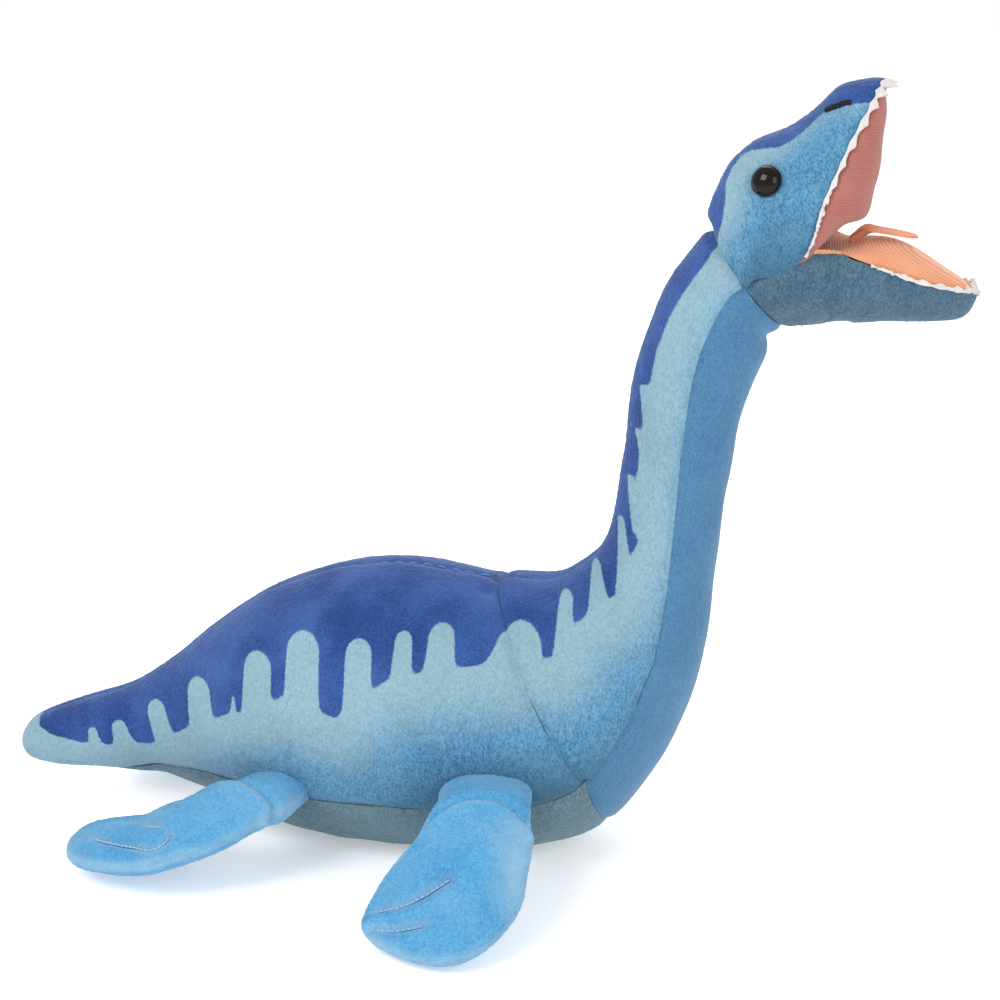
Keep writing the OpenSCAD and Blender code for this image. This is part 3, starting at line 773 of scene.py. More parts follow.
@dataclass(frozen=True)
class Print:
    """The dark print of the back: its lower line from tail to snout, and the lobes that rise above it."""

    line: tuple[tuple[float, float], ...] = (
        (-199, 80), (-198, 50), (-195, 43), (-189, 41), (-174, 39.5), (-161, 40), (-138, 43), (-123, 54),
        (-102, 66),
        (-95, 68), (-75, 79), (-52, 73), (-32, 89), (-17, 93), (4, 96), (37, 100), (45, 112), (61, 124),
        (70, 147),
        (67.5, 165), (70, 191), (74, 216), (75.5, 226), (80, 239), (85, 249), (90, 257), (95, 264), (98, 270),
        (100, 279), (101, 287), (101, 293), (103, 299), (106, 303), (110, 305.5), (115, 307), (121, 308),
        (126, 310.5), (130, 314), (134, 318), (138, 322), (144, 324), (150, 325.5), (165, 326.5),
    )
    lobes: tuple[Lobe, ...] = (
        Lobe((-168, 44.5), (-165, 34), 2.3, 3.6), Lobe((-155.5, 48), (-150, 32), 3.4, 6.5),
        Lobe((-138, 57.5), (-130, 36), 4.6, 5.6), Lobe((-116.5, 71), (-113, 48), 6.0, 6.6),
        Lobe((-98.6, 74), (-98.6, 60), 0.7, 2.0), Lobe((-88, 87.5), (-87, 60), 6.4, 7.0),
        Lobe((-68, 97), (-66, 60), 7.3, 8.0), Lobe((-43.5, 98.5), (-42.5, 66), 5.6, 6.4),
        Lobe((-25, 104), (-25, 80), 3.6, 5.2), Lobe((-9.5, 105), (-9, 80), 5.4, 8.0),
        Lobe((22.5, 102), (19.5, 86), 9.5, 15.5), Lobe((40.3, 119), (41.8, 92), 3.0, 4.6),
        Lobe((51.8, 131.5), (57.5, 106), 2.2, 7.0), Lobe((61.8, 152.5), (65, 128), 1.6, 3.6),
        Lobe((65.3, 171), (70, 152), 1.2, 3.2), Lobe((67.8, 191), (73, 174), 1.2, 3.6),
        Lobe((71.0, 209), (76, 194), 2.0, 4.6),
    )
    soft: float = 1.1

    def below_line(self, x: Array, z: Array) -> Array:
        """Distance below the lower line, in millimetres; negative in the dark above it."""
        line = np.array(self.line, float)
        best = np.full(x.shape, 1e9)
        for (ax, az), (bx, bz) in zip(line[:-1], line[1:]):
            run = np.array([bx - ax, bz - az])
            share = np.clip(((x - ax) * run[0] + (z - az) * run[1]) / (run @ run), 0, 1)
            best = np.minimum(best, np.hypot(x - ax - share * run[0], z - az - share * run[1]))
        ring = np.vstack([line, [[165, 480], [-400, 480], [-400, 80]]])
        inside = np.zeros(x.shape, bool)
        for (ax, az), (bx, bz) in zip(ring, np.roll(ring, -1, axis=0)):
            if az != bz:
                crosses = ((az > z) != (bz > z)) & (x < (bx - ax) * (z - az) / (bz - az) + ax)
                inside ^= crosses
        return np.where(inside, -best, best)

    def pale(self, x: Array, z: Array) -> Array:
        """Distance into the pale cloth, with the lobes joined smoothly to what is under them."""
        total = np.exp(np.clip(self.below_line(x, z) / self.soft, -60, 60))
        for lobe in self.lobes:
            total = total + np.exp(np.clip(lobe.reach(x, z) / self.soft, -60, 60))
        return self.soft * np.log(total)

    def lay_on(self, obj: bpy.types.Object, head: bool = False) -> None:
        """Stores the print on a skin, with its distance below the print line, which also places painted shade.

        Args:
            obj: the skin.
            head: whether the pale band is narrow, as on the head.
        """
        place = np.zeros(len(obj.data.vertices) * 3)
        obj.data.attributes[LAY].data.foreach_get("vector", place)
        x, _, z = place.reshape(-1, 3).T / MM
        below = self.below_line(x, z)
        if head:
            # on the head the pale band is narrower; the cap keeps the painted shade slight high on the head and
            # lets it grow lower down
            back = np.clip((x - 112) / 14, 0, 1) + np.clip((286 - z) / 22, 0, 1)
            below = np.minimum(below * 2.2 + 16.0 * back, 34 + 0.75 * np.maximum(0, 292 - z))
        else:
            # painted shade: the underside of the tail, low and far back, counts as far below the print so that
            # it darkens
            below = below + 58.0 * np.clip((24 - z) / 20, 0, 1) * np.clip((-50 - x) / 20, 0, 1)
        store(obj, PALE, self.pale(x, z))
        store(obj, BELOW_PRINT_AND_SHADE, below)


PRINT = Print()


# ---------- Body, tail and neck ----------


@dataclass(frozen=True)
class Torso:
    """The skins of the body, tail and neck, which ride on the torso."""

    loft: Loft = PATTERN.torso()
    under_seam: tuple[float, ...] = (180, 180, 179, 168, 150, 134, 124, 120, 118, 118, 118, 116, 110, 107,
                                     104, 100,
                                     96, 91, 86, 88, 88, 88, 88)
    seam_span: float = 115.0
    neck_seam: tuple[float, float] = (10.12, 11.15)
    chest_row: float = 11.15
    belly_row: float = 3.0
    end_row: float = 20.8
    step: float = 1.25

    def side_seam(self, u: Array) -> Array:
        """Angle of the seam under the side panels."""
        return along_rows(np.array(self.under_seam, float)[:, None], u)[..., 0]

    def neck_seam_row(self, angle: Array) -> Array:
        """Row of the leaning seam between body and neck, by angle."""
        return mix(*self.neck_seam, np.minimum(1.0, angle / self.seam_span) ** 1.3)

    def surface(self, u: Array, angle: Array, depth: Array) -> Array:
        """A point of the skin, kept above the floor and drawn to a point at the tail."""
        p = self.loft.point(u, angle, depth)
        p[..., 2] = np.maximum(p[..., 2], np.maximum(depth, 0.0))
        return p

    def panel(self, name: str, first: Callable[[Array], Array], last: Callable[[Array], Array],
              edges: Callable[[Array], tuple[Array, Array]], seams: Seams, seed: int, thick: float = 1.7,
              swell: float = 0.45, fuzz: float = 0.10,
              shape: Callable[[Array, Array, Array], Array] | None = None) -> bpy.types.Object:
        """One skin between two rows and two angles.

        Args:
            name: the piece's name.
            first: the first row for each share t across.
            last: the last row.
            edges: the two angles at each row.
            seams: how the edges are drawn in.
            seed: the pattern of its swells.
            thick: thickness of the cloth.
            swell: height of the swells of the filling.
            fuzz: roughness of the pile.
            shape: more depth at (s, t, points), for folds.

        Returns:
            The skin.
        """
        rows, run = self.loft.lengths(0.0, self.end_row)

        def place(s: Array, t: Array, depth: Array) -> Array:
            a, b = np.interp(first(t), rows, run), np.interp(last(t), rows, run)
            u = even_steps(run, rows, mix(a, b, s))
            low, high = edges(u)
            return self.surface(u, mix(low, high, t), depth)

        half = np.array([0.5])
        length = float(np.interp(last(half), rows, run)[0] - np.interp(first(half), rows, run)[0])
        u = np.linspace(float(first(half)[0]), float(last(half)[0]), 40)
        low, high = edges(u)
        arc = float(np.max(np.abs(high - low) / 57.3 * along_rows(np.array(self.loft.rows, float), u)[:, 5]))
        cut = Cut(name + SEWN, place, round(length / self.step), round(arc / self.step), thick, seams, swell,
                  34.0, fuzz,
                  seed, shape)
        return cut.lay()

    @staticmethod
    def knot(s: Array, t: Array, p: Array) -> Array:
        """The pucker where the neck seam meets the back, and soft dents down the neck."""
        pucker = 1.8 * np.exp(-(((p[..., 0] - 5.5) / 3.2) ** 2) - (((np.abs(p[..., 1]) - 13) / 4) ** 2)) \
            * (p[..., 2] > 100)
        dent = 1.6 * np.exp(-(((p[..., 2] - 183) / 9) ** 2) - (((p[..., 0] - 70) / 9) ** 2))
        fold = 1.2 * np.exp(-(((p[..., 2] - 217 - (p[..., 0] - 86) * 0.6) / 2.4) ** 2)
                            - (((p[..., 0] - 84) / 6) ** 2))
        return pucker + dent + fold

    def build(self, materials: dict[str, bpy.types.Material]) -> list[bpy.types.Object]:
        """Makes and dresses the skins.

        Args:
            materials: those made so far.

        Returns:
            The pieces.
        """
        def fixed(row: float) -> Callable[[Array], Array]:
            return lambda t: np.full_like(t, row)

        def crown_to_side(u: Array) -> tuple[Array, Array]:
            return np.zeros_like(u), self.side_seam(u)

        def under(u: Array) -> tuple[Array, Array]:
            return self.side_seam(u), 360 - self.side_seam(u)

        def seam(t: Array) -> Array:
            return self.neck_seam_row(t * self.seam_span)

        side_seams = Seams(start=0.0, end=2.2, first=0.8, last=1.3)
        right = self.panel("body_panel_right", fixed(0.0), seam, crown_to_side, side_seams, 11,
                           shape=self.knot)
        neck = self.panel("neck_panel_right", seam, fixed(self.end_row), crown_to_side,
                          Seams(start=2.2, end=1.5, first=0.6, last=1.4), 12, shape=self.knot)
        throat = self.panel("throat_panel", fixed(self.chest_row), fixed(self.end_row), under,
                            Seams(start=1.2, end=1.3, first=1.3, last=1.3), 13, swell=0.35, fuzz=0.04)
        belly = self.panel("belly_panel", fixed(self.belly_row), fixed(self.chest_row), under,
                           Seams(start=0.3, end=1.2, first=1.1, last=1.1), 14, fuzz=0.06)
        for obj in (right, neck):
            PRINT.lay_on(obj)
            dress(obj, BODY_PLUSH, materials)
        dress(throat, THROAT_PLUSH, materials)
        dress(belly, BELLY_PLUSH, materials)
        left = mirrored(right, "body_panel_left" + SEWN)
        neck_left = mirrored(neck, "neck_panel_left" + SEWN)
        made = [right, left, neck, neck_left, throat, belly]
        for obj in made:
            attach(obj, "torso")
            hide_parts(obj.name.removesuffix(SEWN))
        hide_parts("body_stuffing")
        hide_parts("neck_stuffing")
        return made


# ---------- Head ----------


def nod_blend(obj: bpy.types.Object) -> None:
    """Bakes a skin's placement into its mesh."""
    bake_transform(obj)


HEAD_START = 2.2


@dataclass(frozen=True)
class Skull:
    """The surface of the head and upper jaw, which the skin, palate, eyes and nostrils share."""

    fold: tuple[float, float] = (144.69, 252.0)
    fold_r: float = 15.5
    fold_half_w: float = 21.5
    clear: float = 1.7

    def place(self, along: float, across: float) -> tuple[float, float]:
        """X and Z of a point measured along and square to the upper jaw from the head seam."""
        turn, (x, z) = math.radians(PATTERN.head_tilt), PATTERN.seam
        return (x + math.cos(turn) * along - math.sin(turn) * across,
                z + math.sin(turn) * along + math.cos(turn) * across)

    def row(self, along: float, lip: float, crown: float, palate: float, wide: float) -> tuple[float, ...]:
        """A section of the upper jaw, by shares of its length, drop of the lips, crown, palate and width."""
        x, z = self.place(PATTERN.head_len * along, -PATTERN.crown_h * lip)
        return (x, z, PATTERN.head_tilt, PATTERN.crown_h * crown, PATTERN.palate_h * palate,
                PATTERN.head_w / 2 * wide)

    def hood(self, slope: float, forward: float, radius: float) -> tuple[float, ...]:
        """A ring of the back of the head, round the end of the neck."""
        turn, (x, z) = math.radians(slope), PATTERN.seam
        return x + math.cos(turn) * forward, z + math.sin(turn) * forward, slope, radius, radius, radius

    def loft(self) -> Loft:
        """The head as one loft."""
        return Loft((
            self.hood(PATTERN.neck_end_slope, HEAD_START, 24.6), self.hood(47.5, 8.0, 25.8),
            self.row(0.15, 0.20, 0.89, 0.42, 0.99), self.row(0.25, 0.29, 1.05, 0.25, 1.00),
            self.row(0.36, 0.25, 1.05, 0.45, 1.00), self.row(0.435, 0.18, 0.94, 0.74, 0.97),
            self.row(0.51, 0.13, 0.82, 1.14, 0.93), self.row(0.62, 0.08, 0.595, 1.05, 0.83),
            self.row(0.74, 0.03, 0.445, 0.84, 0.70), self.row(0.87, 0.00, 0.355, 0.50, 0.52),
            self.row(0.95, -0.02, 0.15, 0.22, 0.34), self.row(0.995, -0.01, 0.02, 0.04, 0.10),
        ))

    def point(self, u: Array, angle: Array, depth: Array) -> Array:
        """A point of the head's surface, kept outside the rounded fold of the lower jaw."""
        p = self.loft().point(u, angle, depth)
        grow = self.clear + np.maximum(depth, 0.0)
        away = p - np.array([self.fold[0], 0.0, self.fold[1]])
        size = np.stack([self.fold_r + grow, self.fold_half_w + grow, self.fold_r + grow], -1)
        reach = np.linalg.norm(away / size, axis=-1, keepdims=True)
        return np.where((reach >= 1) | (reach < 0.01), p, p - away + away / np.maximum(reach, 0.01))

    def even(self, first: float, last: float) -> Callable[[Array], Array]:
        """Rows spaced evenly along the side, by share of the way from the first to the last."""
        rows, run = self.loft().lengths(0.0, 11.0)
        a, b = np.interp([first, last], rows, run)
        return lambda s: even_steps(run, rows, mix(a, b, s))


SKULL = Skull()


def frame_on(point: Callable[[float, float], Array], u: float, angle: float) -> tuple[Array, Array, Array]:
    """Where a surface is and how it lies at one place.

    Args:
        point: the surface at (row, angle).
        u: the row.
        angle: the angle.

    Returns:
        The point, the way forward along the rows and the way out.
    """
    here = point(u, angle)
    ahead = point(u + 0.2, angle) - point(u - 0.2, angle)
    round_ = point(u, angle + 4) - point(u, angle - 4)
    out = np.cross(round_, ahead)
    return here, ahead / np.linalg.norm(ahead), out / np.linalg.norm(out)


def on_skull(u: float, angle: float) -> Array:
    """One point of the head's surface."""
    return SKULL.point(np.array([float(u)]), np.array([float(angle)]), np.zeros(1))[0]


@dataclass(frozen=True)
class Stitching:
    """Rows of short rounded stitches, all one mesh, each copied from one modelled stitch."""

    name: str
    radius: float
    length: float

    def one(self) -> tuple[Array, list[list[int]]]:
        """One stitch along X: a short thread whose ends dive into the cloth.

        Returns:
            Its vertices and faces.
        """
        deselect()
        bpy.ops.mesh.primitive_cylinder_add(vertices=8, radius=self.radius, depth=self.length * 0.6,
                                            rotation=(0, math.pi / 2, 0))
        obj = bpy.context.object
        bpy.ops.object.transform_apply(location=True, rotation=True, scale=True)
        bpy.ops.object.mode_set(mode="EDIT")
        for side in (-1, 1):
            bpy.ops.mesh.select_all(action="DESELECT")
            bpy.ops.object.mode_set(mode="OBJECT")
            for face in obj.data.polygons:
                face.select = face.normal.x * side > 0.9
            bpy.ops.object.mode_set(mode="EDIT")
            bpy.ops.mesh.select_mode(type="FACE")
            bpy.ops.mesh.extrude_region_move(TRANSFORM_OT_translate={
                "value": (side * self.length * 0.2, 0, -self.radius * 1.1)})
            bpy.ops.transform.resize(value=(1, 0.55, 0.55))
        bpy.ops.object.mode_set(mode="OBJECT")
        co, faces = corners(obj), [list(p.vertices) for p in obj.data.polygons]
        bpy.data.objects.remove(obj)
        return co, faces

    def sew(self, places: Sequence[tuple[Array, Array, Array]]) -> bpy.types.Object:
        """Sews a stitch at each place.

        Args:
            places: for each stitch its middle, the way it runs and the way out of the cloth.

        Returns:
            The stitches as one object.
        """
        co, faces = self.one()
        points, polygons = [], []
        for middle, way, out in places:
            side = np.cross(out, way)
            side = side / np.linalg.norm(side)
            turned = middle + co[:, :1] * way + co[:, 1:2] * side + co[:, 2:] * np.cross(way, side)
            polygons += [[i + len(points) * len(co) for i in face] for face in faces]
            points.append(turned)
        mesh = bpy.data.meshes.new(self.name)
        mesh.from_pydata((np.vstack(points) * MM).tolist(), [], polygons)
        obj = bpy.data.objects.new(self.name, mesh)
        bpy.context.scene.collection.objects.link(obj)
        shade(obj, 60.0)
        return obj


@dataclass(frozen=True)
class Head:
    """The skin of the head, the palate, the teeth above, the eyes and the nostrils."""

    eye_row: float = 4.85
    eye_angle: float = 50.0
    eye_d: float = 11.8
    eye_sink: float = 0.5
    nostril_row: float = 8.45
    nostril_angle: float = 50.0
    nostril_ends: tuple[tuple[float, float, float], ...] = ((138.6, -9.2, 321.8), (148.0, -10.8, 325.2))
    lip_rows: tuple[float, float] = (3.2, 11.0)

    def skin(self) -> bpy.types.Object:
        """The right side of the head, with a socket round the eye."""
        even = SKULL.even(0.0, 11.0)
        eye = on_skull(self.eye_row, self.eye_angle)

        def place(s: Array, t: Array, depth: Array) -> Array:
            return SKULL.point(even(s), 90.0 * t, depth)

        def socket(s: Array, t: Array, p: Array) -> Array:
            away = np.linalg.norm(p - eye, axis=-1)
            brow = np.exp(-(((away - 9.0) / 2.6) ** 2)) * 0.5
            nose = on_skull(self.nostril_row, self.nostril_angle)
            pinch = 0.9 * np.exp(-((np.linalg.norm(p - nose, axis=-1) / 4.5) ** 2))
            return 1.6 * np.exp(-((away / 6.4) ** 4)) - brow + pinch

        seams = Seams(start=1.4, end=0.2, first=0.35, last=0.7, roll=2.0)
        return Cut("head_panel_right" + SEWN, place, 128, 44, 1.6, seams, 0.5, 24.0, 0.10, 21, socket).lay()

    def palate(self) -> bpy.types.Object:
        """The knitted roof of the mouth, from one lip to the other."""
        even = SKULL.even(1.75, 11.0)

        def place(s: Array, t: Array, depth: Array) -> Array:
            return SKULL.point(even(s), 90.0 + 180.0 * t, depth)

        seams = Seams(start=0.0, end=0.2, first=1.7, last=1.7, roll=2.4)
        return Cut("palate_lining" + SEWN, place, 96, 60, 1.0, seams, 0.25, 22.0, 0.02, 22).lay()

    def teeth(self) -> bpy.types.Object:
        """The felt edge along the upper lips, saw-toothed, lower along the cheeks than at the snout."""
        turn = math.radians(PATTERN.head_tilt)
        down = np.array([math.sin(turn), 0.0, -math.cos(turn)])

        def lip(u: Array, side: Array) -> Array:
            return SKULL.point(u, np.where(side < 0, 90.0, 270.0), np.full_like(u, 0.2))

        return felt_edge("upper_teeth", lip, self.lip_rows, down, 23, (1.1, 1.6, 6.5), 0.55)

    def eye(self) -> bpy.types.Object:
        """The right eye: a glossy dome with a thin rim, set into the cheek."""
        here, ahead, out = frame_on(on_skull, self.eye_row, self.eye_angle)
        deselect()
        r = self.eye_d / 2
        bpy.ops.mesh.primitive_uv_sphere_add(segments=64, ring_count=32, radius=r)
        obj = bpy.context.object
        obj.name = obj.data.name = "eye_right" + SEWN
        bpy.ops.object.mode_set(mode="EDIT")
        bpy.ops.mesh.select_all(action="SELECT")
        bpy.ops.mesh.bisect(plane_co=(0, 0, 0.2), plane_no=(0, 0, 1), use_fill=False, clear_inner=True)
        bpy.ops.mesh.select_all(action="SELECT")
        bpy.ops.transform.resize(value=(1, 1, 0.66))
        bpy.ops.mesh.select_all(action="DESELECT")
        bpy.ops.mesh.select_mode(type="EDGE")
        bpy.ops.mesh.select_non_manifold()
        steps = ((1.05, -0.15), (1.0, -0.5), (0.93, -0.9), (0.4, -1.2))
        for wide, drop in steps:
            bpy.ops.mesh.extrude_edges_move(TRANSFORM_OT_translate={"value": (0, 0, drop)})
            bpy.ops.transform.resize(value=(wide, wide, 1))
        bpy.ops.mesh.edge_face_add()
        bpy.ops.mesh.select_all(action="SELECT")
        bpy.ops.mesh.normals_make_consistent(inside=False)
        bpy.ops.object.mode_set(mode="OBJECT")
        side = np.cross(out, ahead)
        co = corners(obj)
        middle = here - out * self.eye_sink
        move_corners(obj, (middle + co[:, :1] * ahead + co[:, 1:2] * side + co[:, 2:] * out) * MM)
        shade(obj, 40.0)
        return obj

    def nostril(self) -> bpy.types.Object:
        """The satin-stitched bar of the right nostril: threads side by side across it."""
        places = []
        rows, angles = np.meshgrid(np.linspace(7.0, 10.5, 90), np.linspace(8.0, 80.0, 90), indexing="ij")
        skin = SKULL.point(rows, angles, np.zeros_like(rows))
        ends = np.array(self.nostril_ends)
        for share in np.linspace(0, 1, 16):
            away = np.linalg.norm(skin - mix(ends[0], ends[1], share), axis=-1)
            i, j = np.unravel_index(away.argmin(), away.shape)
            here, _, out = frame_on(on_skull, rows[i, j], angles[i, j])
            across = np.cross(out, ends[1] - ends[0])
            places.append((here + out * 0.3, across / np.linalg.norm(across), out))
        return Stitching("nostril_right" + SEWN, 0.45, 2.1).sew(places)

    def build(self, materials: dict[str, bpy.types.Material]) -> list[bpy.types.Object]:
        """Makes, dresses and mirrors the pieces of the head.

        Args:
            materials: those made so far.

        Returns:
            The pieces.
        """
        skin, palate, teeth, eye, nostril = (self.skin(), self.palate(), self.teeth(), self.eye(),
                                             self.nostril())
        PRINT.lay_on(skin, head=True)
        for obj, finish in ((skin, BODY_PLUSH), (palate, SHADED_PALATE_KNIT), (teeth, TOOTH_FELT), (eye, EYE_GLOSS),
                            (nostril, BLACK_THREAD)):
            dress(obj, finish, materials)
        twins = [mirrored(obj, obj.name.replace("right", "left")) for obj in (skin, eye, nostril)]
        for obj, finish in zip(twins, (BODY_PLUSH, EYE_GLOSS, BLACK_THREAD)):
            dress(obj, finish, materials)
        for obj in (skin, twins[0]):
            nod_blend(obj)
        for obj in (palate, teeth, eye, nostril, *twins[1:]):
            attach(obj, "head")
        made = [skin, twins[0], palate, teeth, eye, twins[1], nostril, twins[2]]
        for obj in made:
            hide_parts(obj.name.removesuffix(SEWN))
        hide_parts("head_stuffing")
        for side in Side:
            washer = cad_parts["eye_washer_" + side.word]
            dress(washer, WASHER_PLASTIC, materials)
        return made


def felt_edge(node: str, lip: Callable[[Array, Array], Array], rows: tuple[float, float], up: Array,
              count: int,
              heights: tuple[float, float, float], spread: float) -> bpy.types.Object:
    """A saw-toothed strip of felt sewn along the lips, from one corner of the mouth round to the other.

    Args:
        node: the CAD node it stands for.
        lip: the line of the lips by row and side, -1 for the right.
        rows: the rows of the corner and of the tip.
        up: the way the teeth point.
        count: how many teeth.
        heights: the height of the strip, of a cheek tooth and of a front tooth.
        spread: how far the strip leans out.

    Returns:
        The strip, a closed sheet of felt.
    """
    def on_lip(s: Array) -> Array:
        share = 1 - np.abs(2 * s - 1)
        bend = np.minimum(1.0, (1 - share) / 0.06)
        side = np.where(s < 0.5, -1.0, 1.0)
        p = lip(mix(rows[0], rows[1], np.minimum(share, 0.985)), side)
        p[..., 1] = p[..., 1] * np.where(share > 0.94, mix(0.75, 1.0, bend), 1.0)
        return p

    def place(s: Array, t: Array, depth: Array) -> Array:
        p, q = on_lip(s), on_lip(np.minimum(1.0, s + 0.004))
        along = q - on_lip(np.maximum(0.0, s - 0.004))
        along /= np.maximum(np.linalg.norm(along, axis=-1, keepdims=True), 1e-6)
        out = np.cross(np.broadcast_to(up, along.shape), along)
        out /= np.maximum(np.linalg.norm(out, axis=-1, keepdims=True), 1e-6)
        saw = np.abs(((s * count) % 1.0) * 2 - 1)
        front = (1 - np.abs(2 * s - 1)) ** 5
        grown = mix(0.30, 1.0, np.clip((1 - np.abs(2 * s - 1)) / 0.25, 0, 1) ** 2)
        base, cheek, tip = heights
        tall = grown * (base * 0.5 + saw**1.3 * (mix(cheek, tip, front) - base * 0.5))
        lean = up + out * spread * mix(0.7, 1.0, saw[..., None])
        lean /= np.linalg.norm(lean, axis=-1, keepdims=True)
        thick = np.cross(lean, along)
        return p + out * 0.5 + lean * ((t[...,
                                          None] * 1.35 - 0.35) * tall[..., None]) - thick * depth[..., None]

    cut = Cut(node + SEWN, place, count * 12, 8, 1.1, Seams(0.0, 0.0, 0.0, 0.0), 0.12, 9.0, 0.03, 31)
    return cut.lay()


# ---------- Lower jaw and tongue ----------


@dataclass(frozen=True)
class Mouth:
    """The skin under the mouth, its knitted lining, the teeth below and the tongue."""

    # Rows of x, z, slope, half height above and below, half width, angle of the lip, height of the lining
    rows: tuple[tuple[float, ...], ...] = (
        (110.4, 253.3, 38, 24.6, 24.6, 24.6, 88, 262), (121.5, 258.6, 22, 20, 25.0, 26.0, 79, 262),
        (131.5, 257.5, 7, 32, 22.2, 26.2, 69, 263), (138.5, 254.8, -2, 35, 19.0, 24.6, 65, 266),
        (145.0, 253.4, -4.6, 36, 16.6, 22.9, 65, 268), (151.0, 257.8, -4.6, 32, 20.4, 22.2, 75, 269),
        (157.5, 261.2, -4.6, 28, 24.6, 21.8, 84, 270), (165.6, 260.8, -4.6, 20, 23.4, 21.2, 89, 270),
        (175.4, 257.4, -4.6, 12, 19.9, 19.4, 90, 266.8), (185.3, 254.6, -4.6, 8, 16.7, 15.9, 90, 260.8),
        (194.2, 252.2, -4.6, 5, 13.0, 10.8, 90, 255.2), (198.6, 251.4, -4.6, 3, 9.3, 6.5, 90, 253.0),
        (200.8, 250.2, -4.6, 1, 3.0, 2.4, 90, 250.9), (201.3, 249.6, -4.6, 0.1, 0.1, 0.1, 90, 249.7),
    )
    crease_row: float = 4.0
    chin_row: float = 13.0
    fold_start: float = 146.0
    fold_end: float = 159.0
    inset: float = 1.4
    tongue_len: float = 27.0
    tongue_w: float = 11.0

    def lip_angle(self, u: Array) -> Array:
        """Angle of the lip round the section."""
        return along_rows(np.array(self.rows, float)[:, 6:7], u)[..., 0]

    def lip(self, u: Array, side: Array) -> Array:
        """The line of the lips on the right, -1, or the left."""
        return Loft(self.rows).point(u, self.lip_angle(u) * -side, np.full_like(u, 0.2))

    def even(self, first: float, last: float) -> Callable[[Array], Array]:
        """Rows spaced evenly along the side, by share of the way from the first to the last."""
        rows, run = Loft(self.rows).lengths(0.0, self.chin_row)
        a, b = np.interp([first, last], rows, run)
        return lambda s: even_steps(run, rows, mix(a, b, s))

    def under(self, node: str, first: float, last: float, nu: int, seams: Seams,
              seed: int) -> bpy.types.Object:
        """A skin under the mouth between two rows.

        Args:
            node: the CAD node it stands for.
            first: the first row.
            last: the last row.
            nu: faces along it.
            seams: how its edges are drawn in.
            seed: the pattern of its swells.

        Returns:
            The skin.
        """
        even, loft = self.even(first, last), Loft(self.rows)

        def place(s: Array, t: Array, depth: Array) -> Array:
            u = even(s)
            lip = self.lip_angle(u)
            return loft.point(u, mix(lip, 360 - lip, t), depth)

        def folds(s: Array, t: Array, p: Array) -> Array:
            return 1.6 * np.exp(-(((p[..., 0] - 142.6) / 2.2) ** 2)) * np.clip((p[..., 2] - 238) / 8, 0, 1)

        return Cut(node + SEWN, place, nu, 90, 1.6, seams, 0.55, 20.0, 0.10, seed, folds).lay()

    def lining(self) -> bpy.types.Object:
        """The knitted lining of the lower jaw, crowned between the lips."""
        even = self.even(2.4, self.chin_row)
        rows = np.array(self.rows, float)

        def place(s: Array, t: Array, depth: Array) -> Array:
            u = even(s)
            edge = self.lip(u, np.full_like(u, -1.0))
            crown = along_rows(rows[:, 7:8], u)[..., 0]
            turn = (t - 0.5) * math.pi
            p = edge.copy()
            p[..., 1] = (edge[..., 1] + self.inset) * -np.sin(turn)
            p[..., 2] = mix(edge[..., 2] + 0.2, crown, np.cos(turn) ** 0.8) - depth
            return p

        return Cut("jaw_lining" + SEWN, place, 90, 56, 1.0, Seams(0.0, 0.1, 0.0, 0.0, 2.0), 0.20, 18.0, 0.02,
                   43).lay()

    def teeth(self) -> bpy.types.Object:
        """The felt edge along the lower lips, with tall teeth round the chin."""
        up = np.array([0.08, 0.0, 1.0])
        return felt_edge("lower_teeth", self.lip, (6.1, 12.4), up, 17, (1.3, 1.7, 6.5), 0.45)

    def tongue(self) -> bpy.types.Object:
        """The felt tongue: folded at its root, then a thin strip that droops a little to its tip."""
        def place(s: Array, t: Array, depth: Array) -> Array:
            across = 2 * t - 1
            tip = 0.72 * np.sqrt(np.maximum(0.03, 1 - ((s - 0.72) / 0.28) ** 2))
            half = self.tongue_w / 2 * np.where(s < 0.72, mix(1.0, 0.72, s / 0.72), tip)
            pinch = np.exp(-((s / 0.17) ** 2))
            x = 151.4 + self.tongue_len * s * 0.93 - 1.2 * pinch
            z = 273.4 + 1.2 * np.sin(math.pi * s) - 1.6 * s**1.3 - 5.2 * pinch
            z = z + np.abs(across) ** 1.5 * (3.4 * np.exp(-(((s - 0.08) / 0.20) ** 2)) + 0.2)
            y = across * half * (1 - 0.72 * pinch) + 0.5 * np.sin(7 * s)
            return np.stack([x, y, z - depth], -1)

        return Cut("tongue" + SEWN, place, 40, 16, 1.1, Seams(0, 0, 0, 0), 0.12, 12.0, 0.03, 44).lay()

    def build(self, materials: dict[str, bpy.types.Material]) -> list[bpy.types.Object]:
        """Makes and dresses the pieces of the lower jaw.

        Args:
            materials: those made so far.

        Returns:
            The pieces.
        """
        back = self.under("jaw_panel_back", 0.0, self.crease_row, 40, Seams(1.5, 0.35, 1.5, 1.5, 2.2), 41)
        skin = self.under("jaw_panel", self.crease_row, self.chin_row, 62, Seams(0.35, 0.0, 0.7, 0.7, 2.2),
                          42)
        lining, teeth, tongue = self.lining(), self.teeth(), self.tongue()
        for obj, finish in ((back, JAW_PLUSH), (skin, JAW_PLUSH), (lining, JAW_KNIT), (teeth, TOOTH_FELT),
                            (tongue, TONGUE_FELT)):
            dress(obj, finish, materials)
            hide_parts(obj.name.removesuffix(SEWN))
        nod_blend(back)
        for obj in (skin, lining):
            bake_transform(obj)
        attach(teeth, "jaw")
        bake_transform(tongue)
        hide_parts("jaw_stuffing")
        return [back, skin, lining, teeth, tongue]


# ---------- Flippers ----------


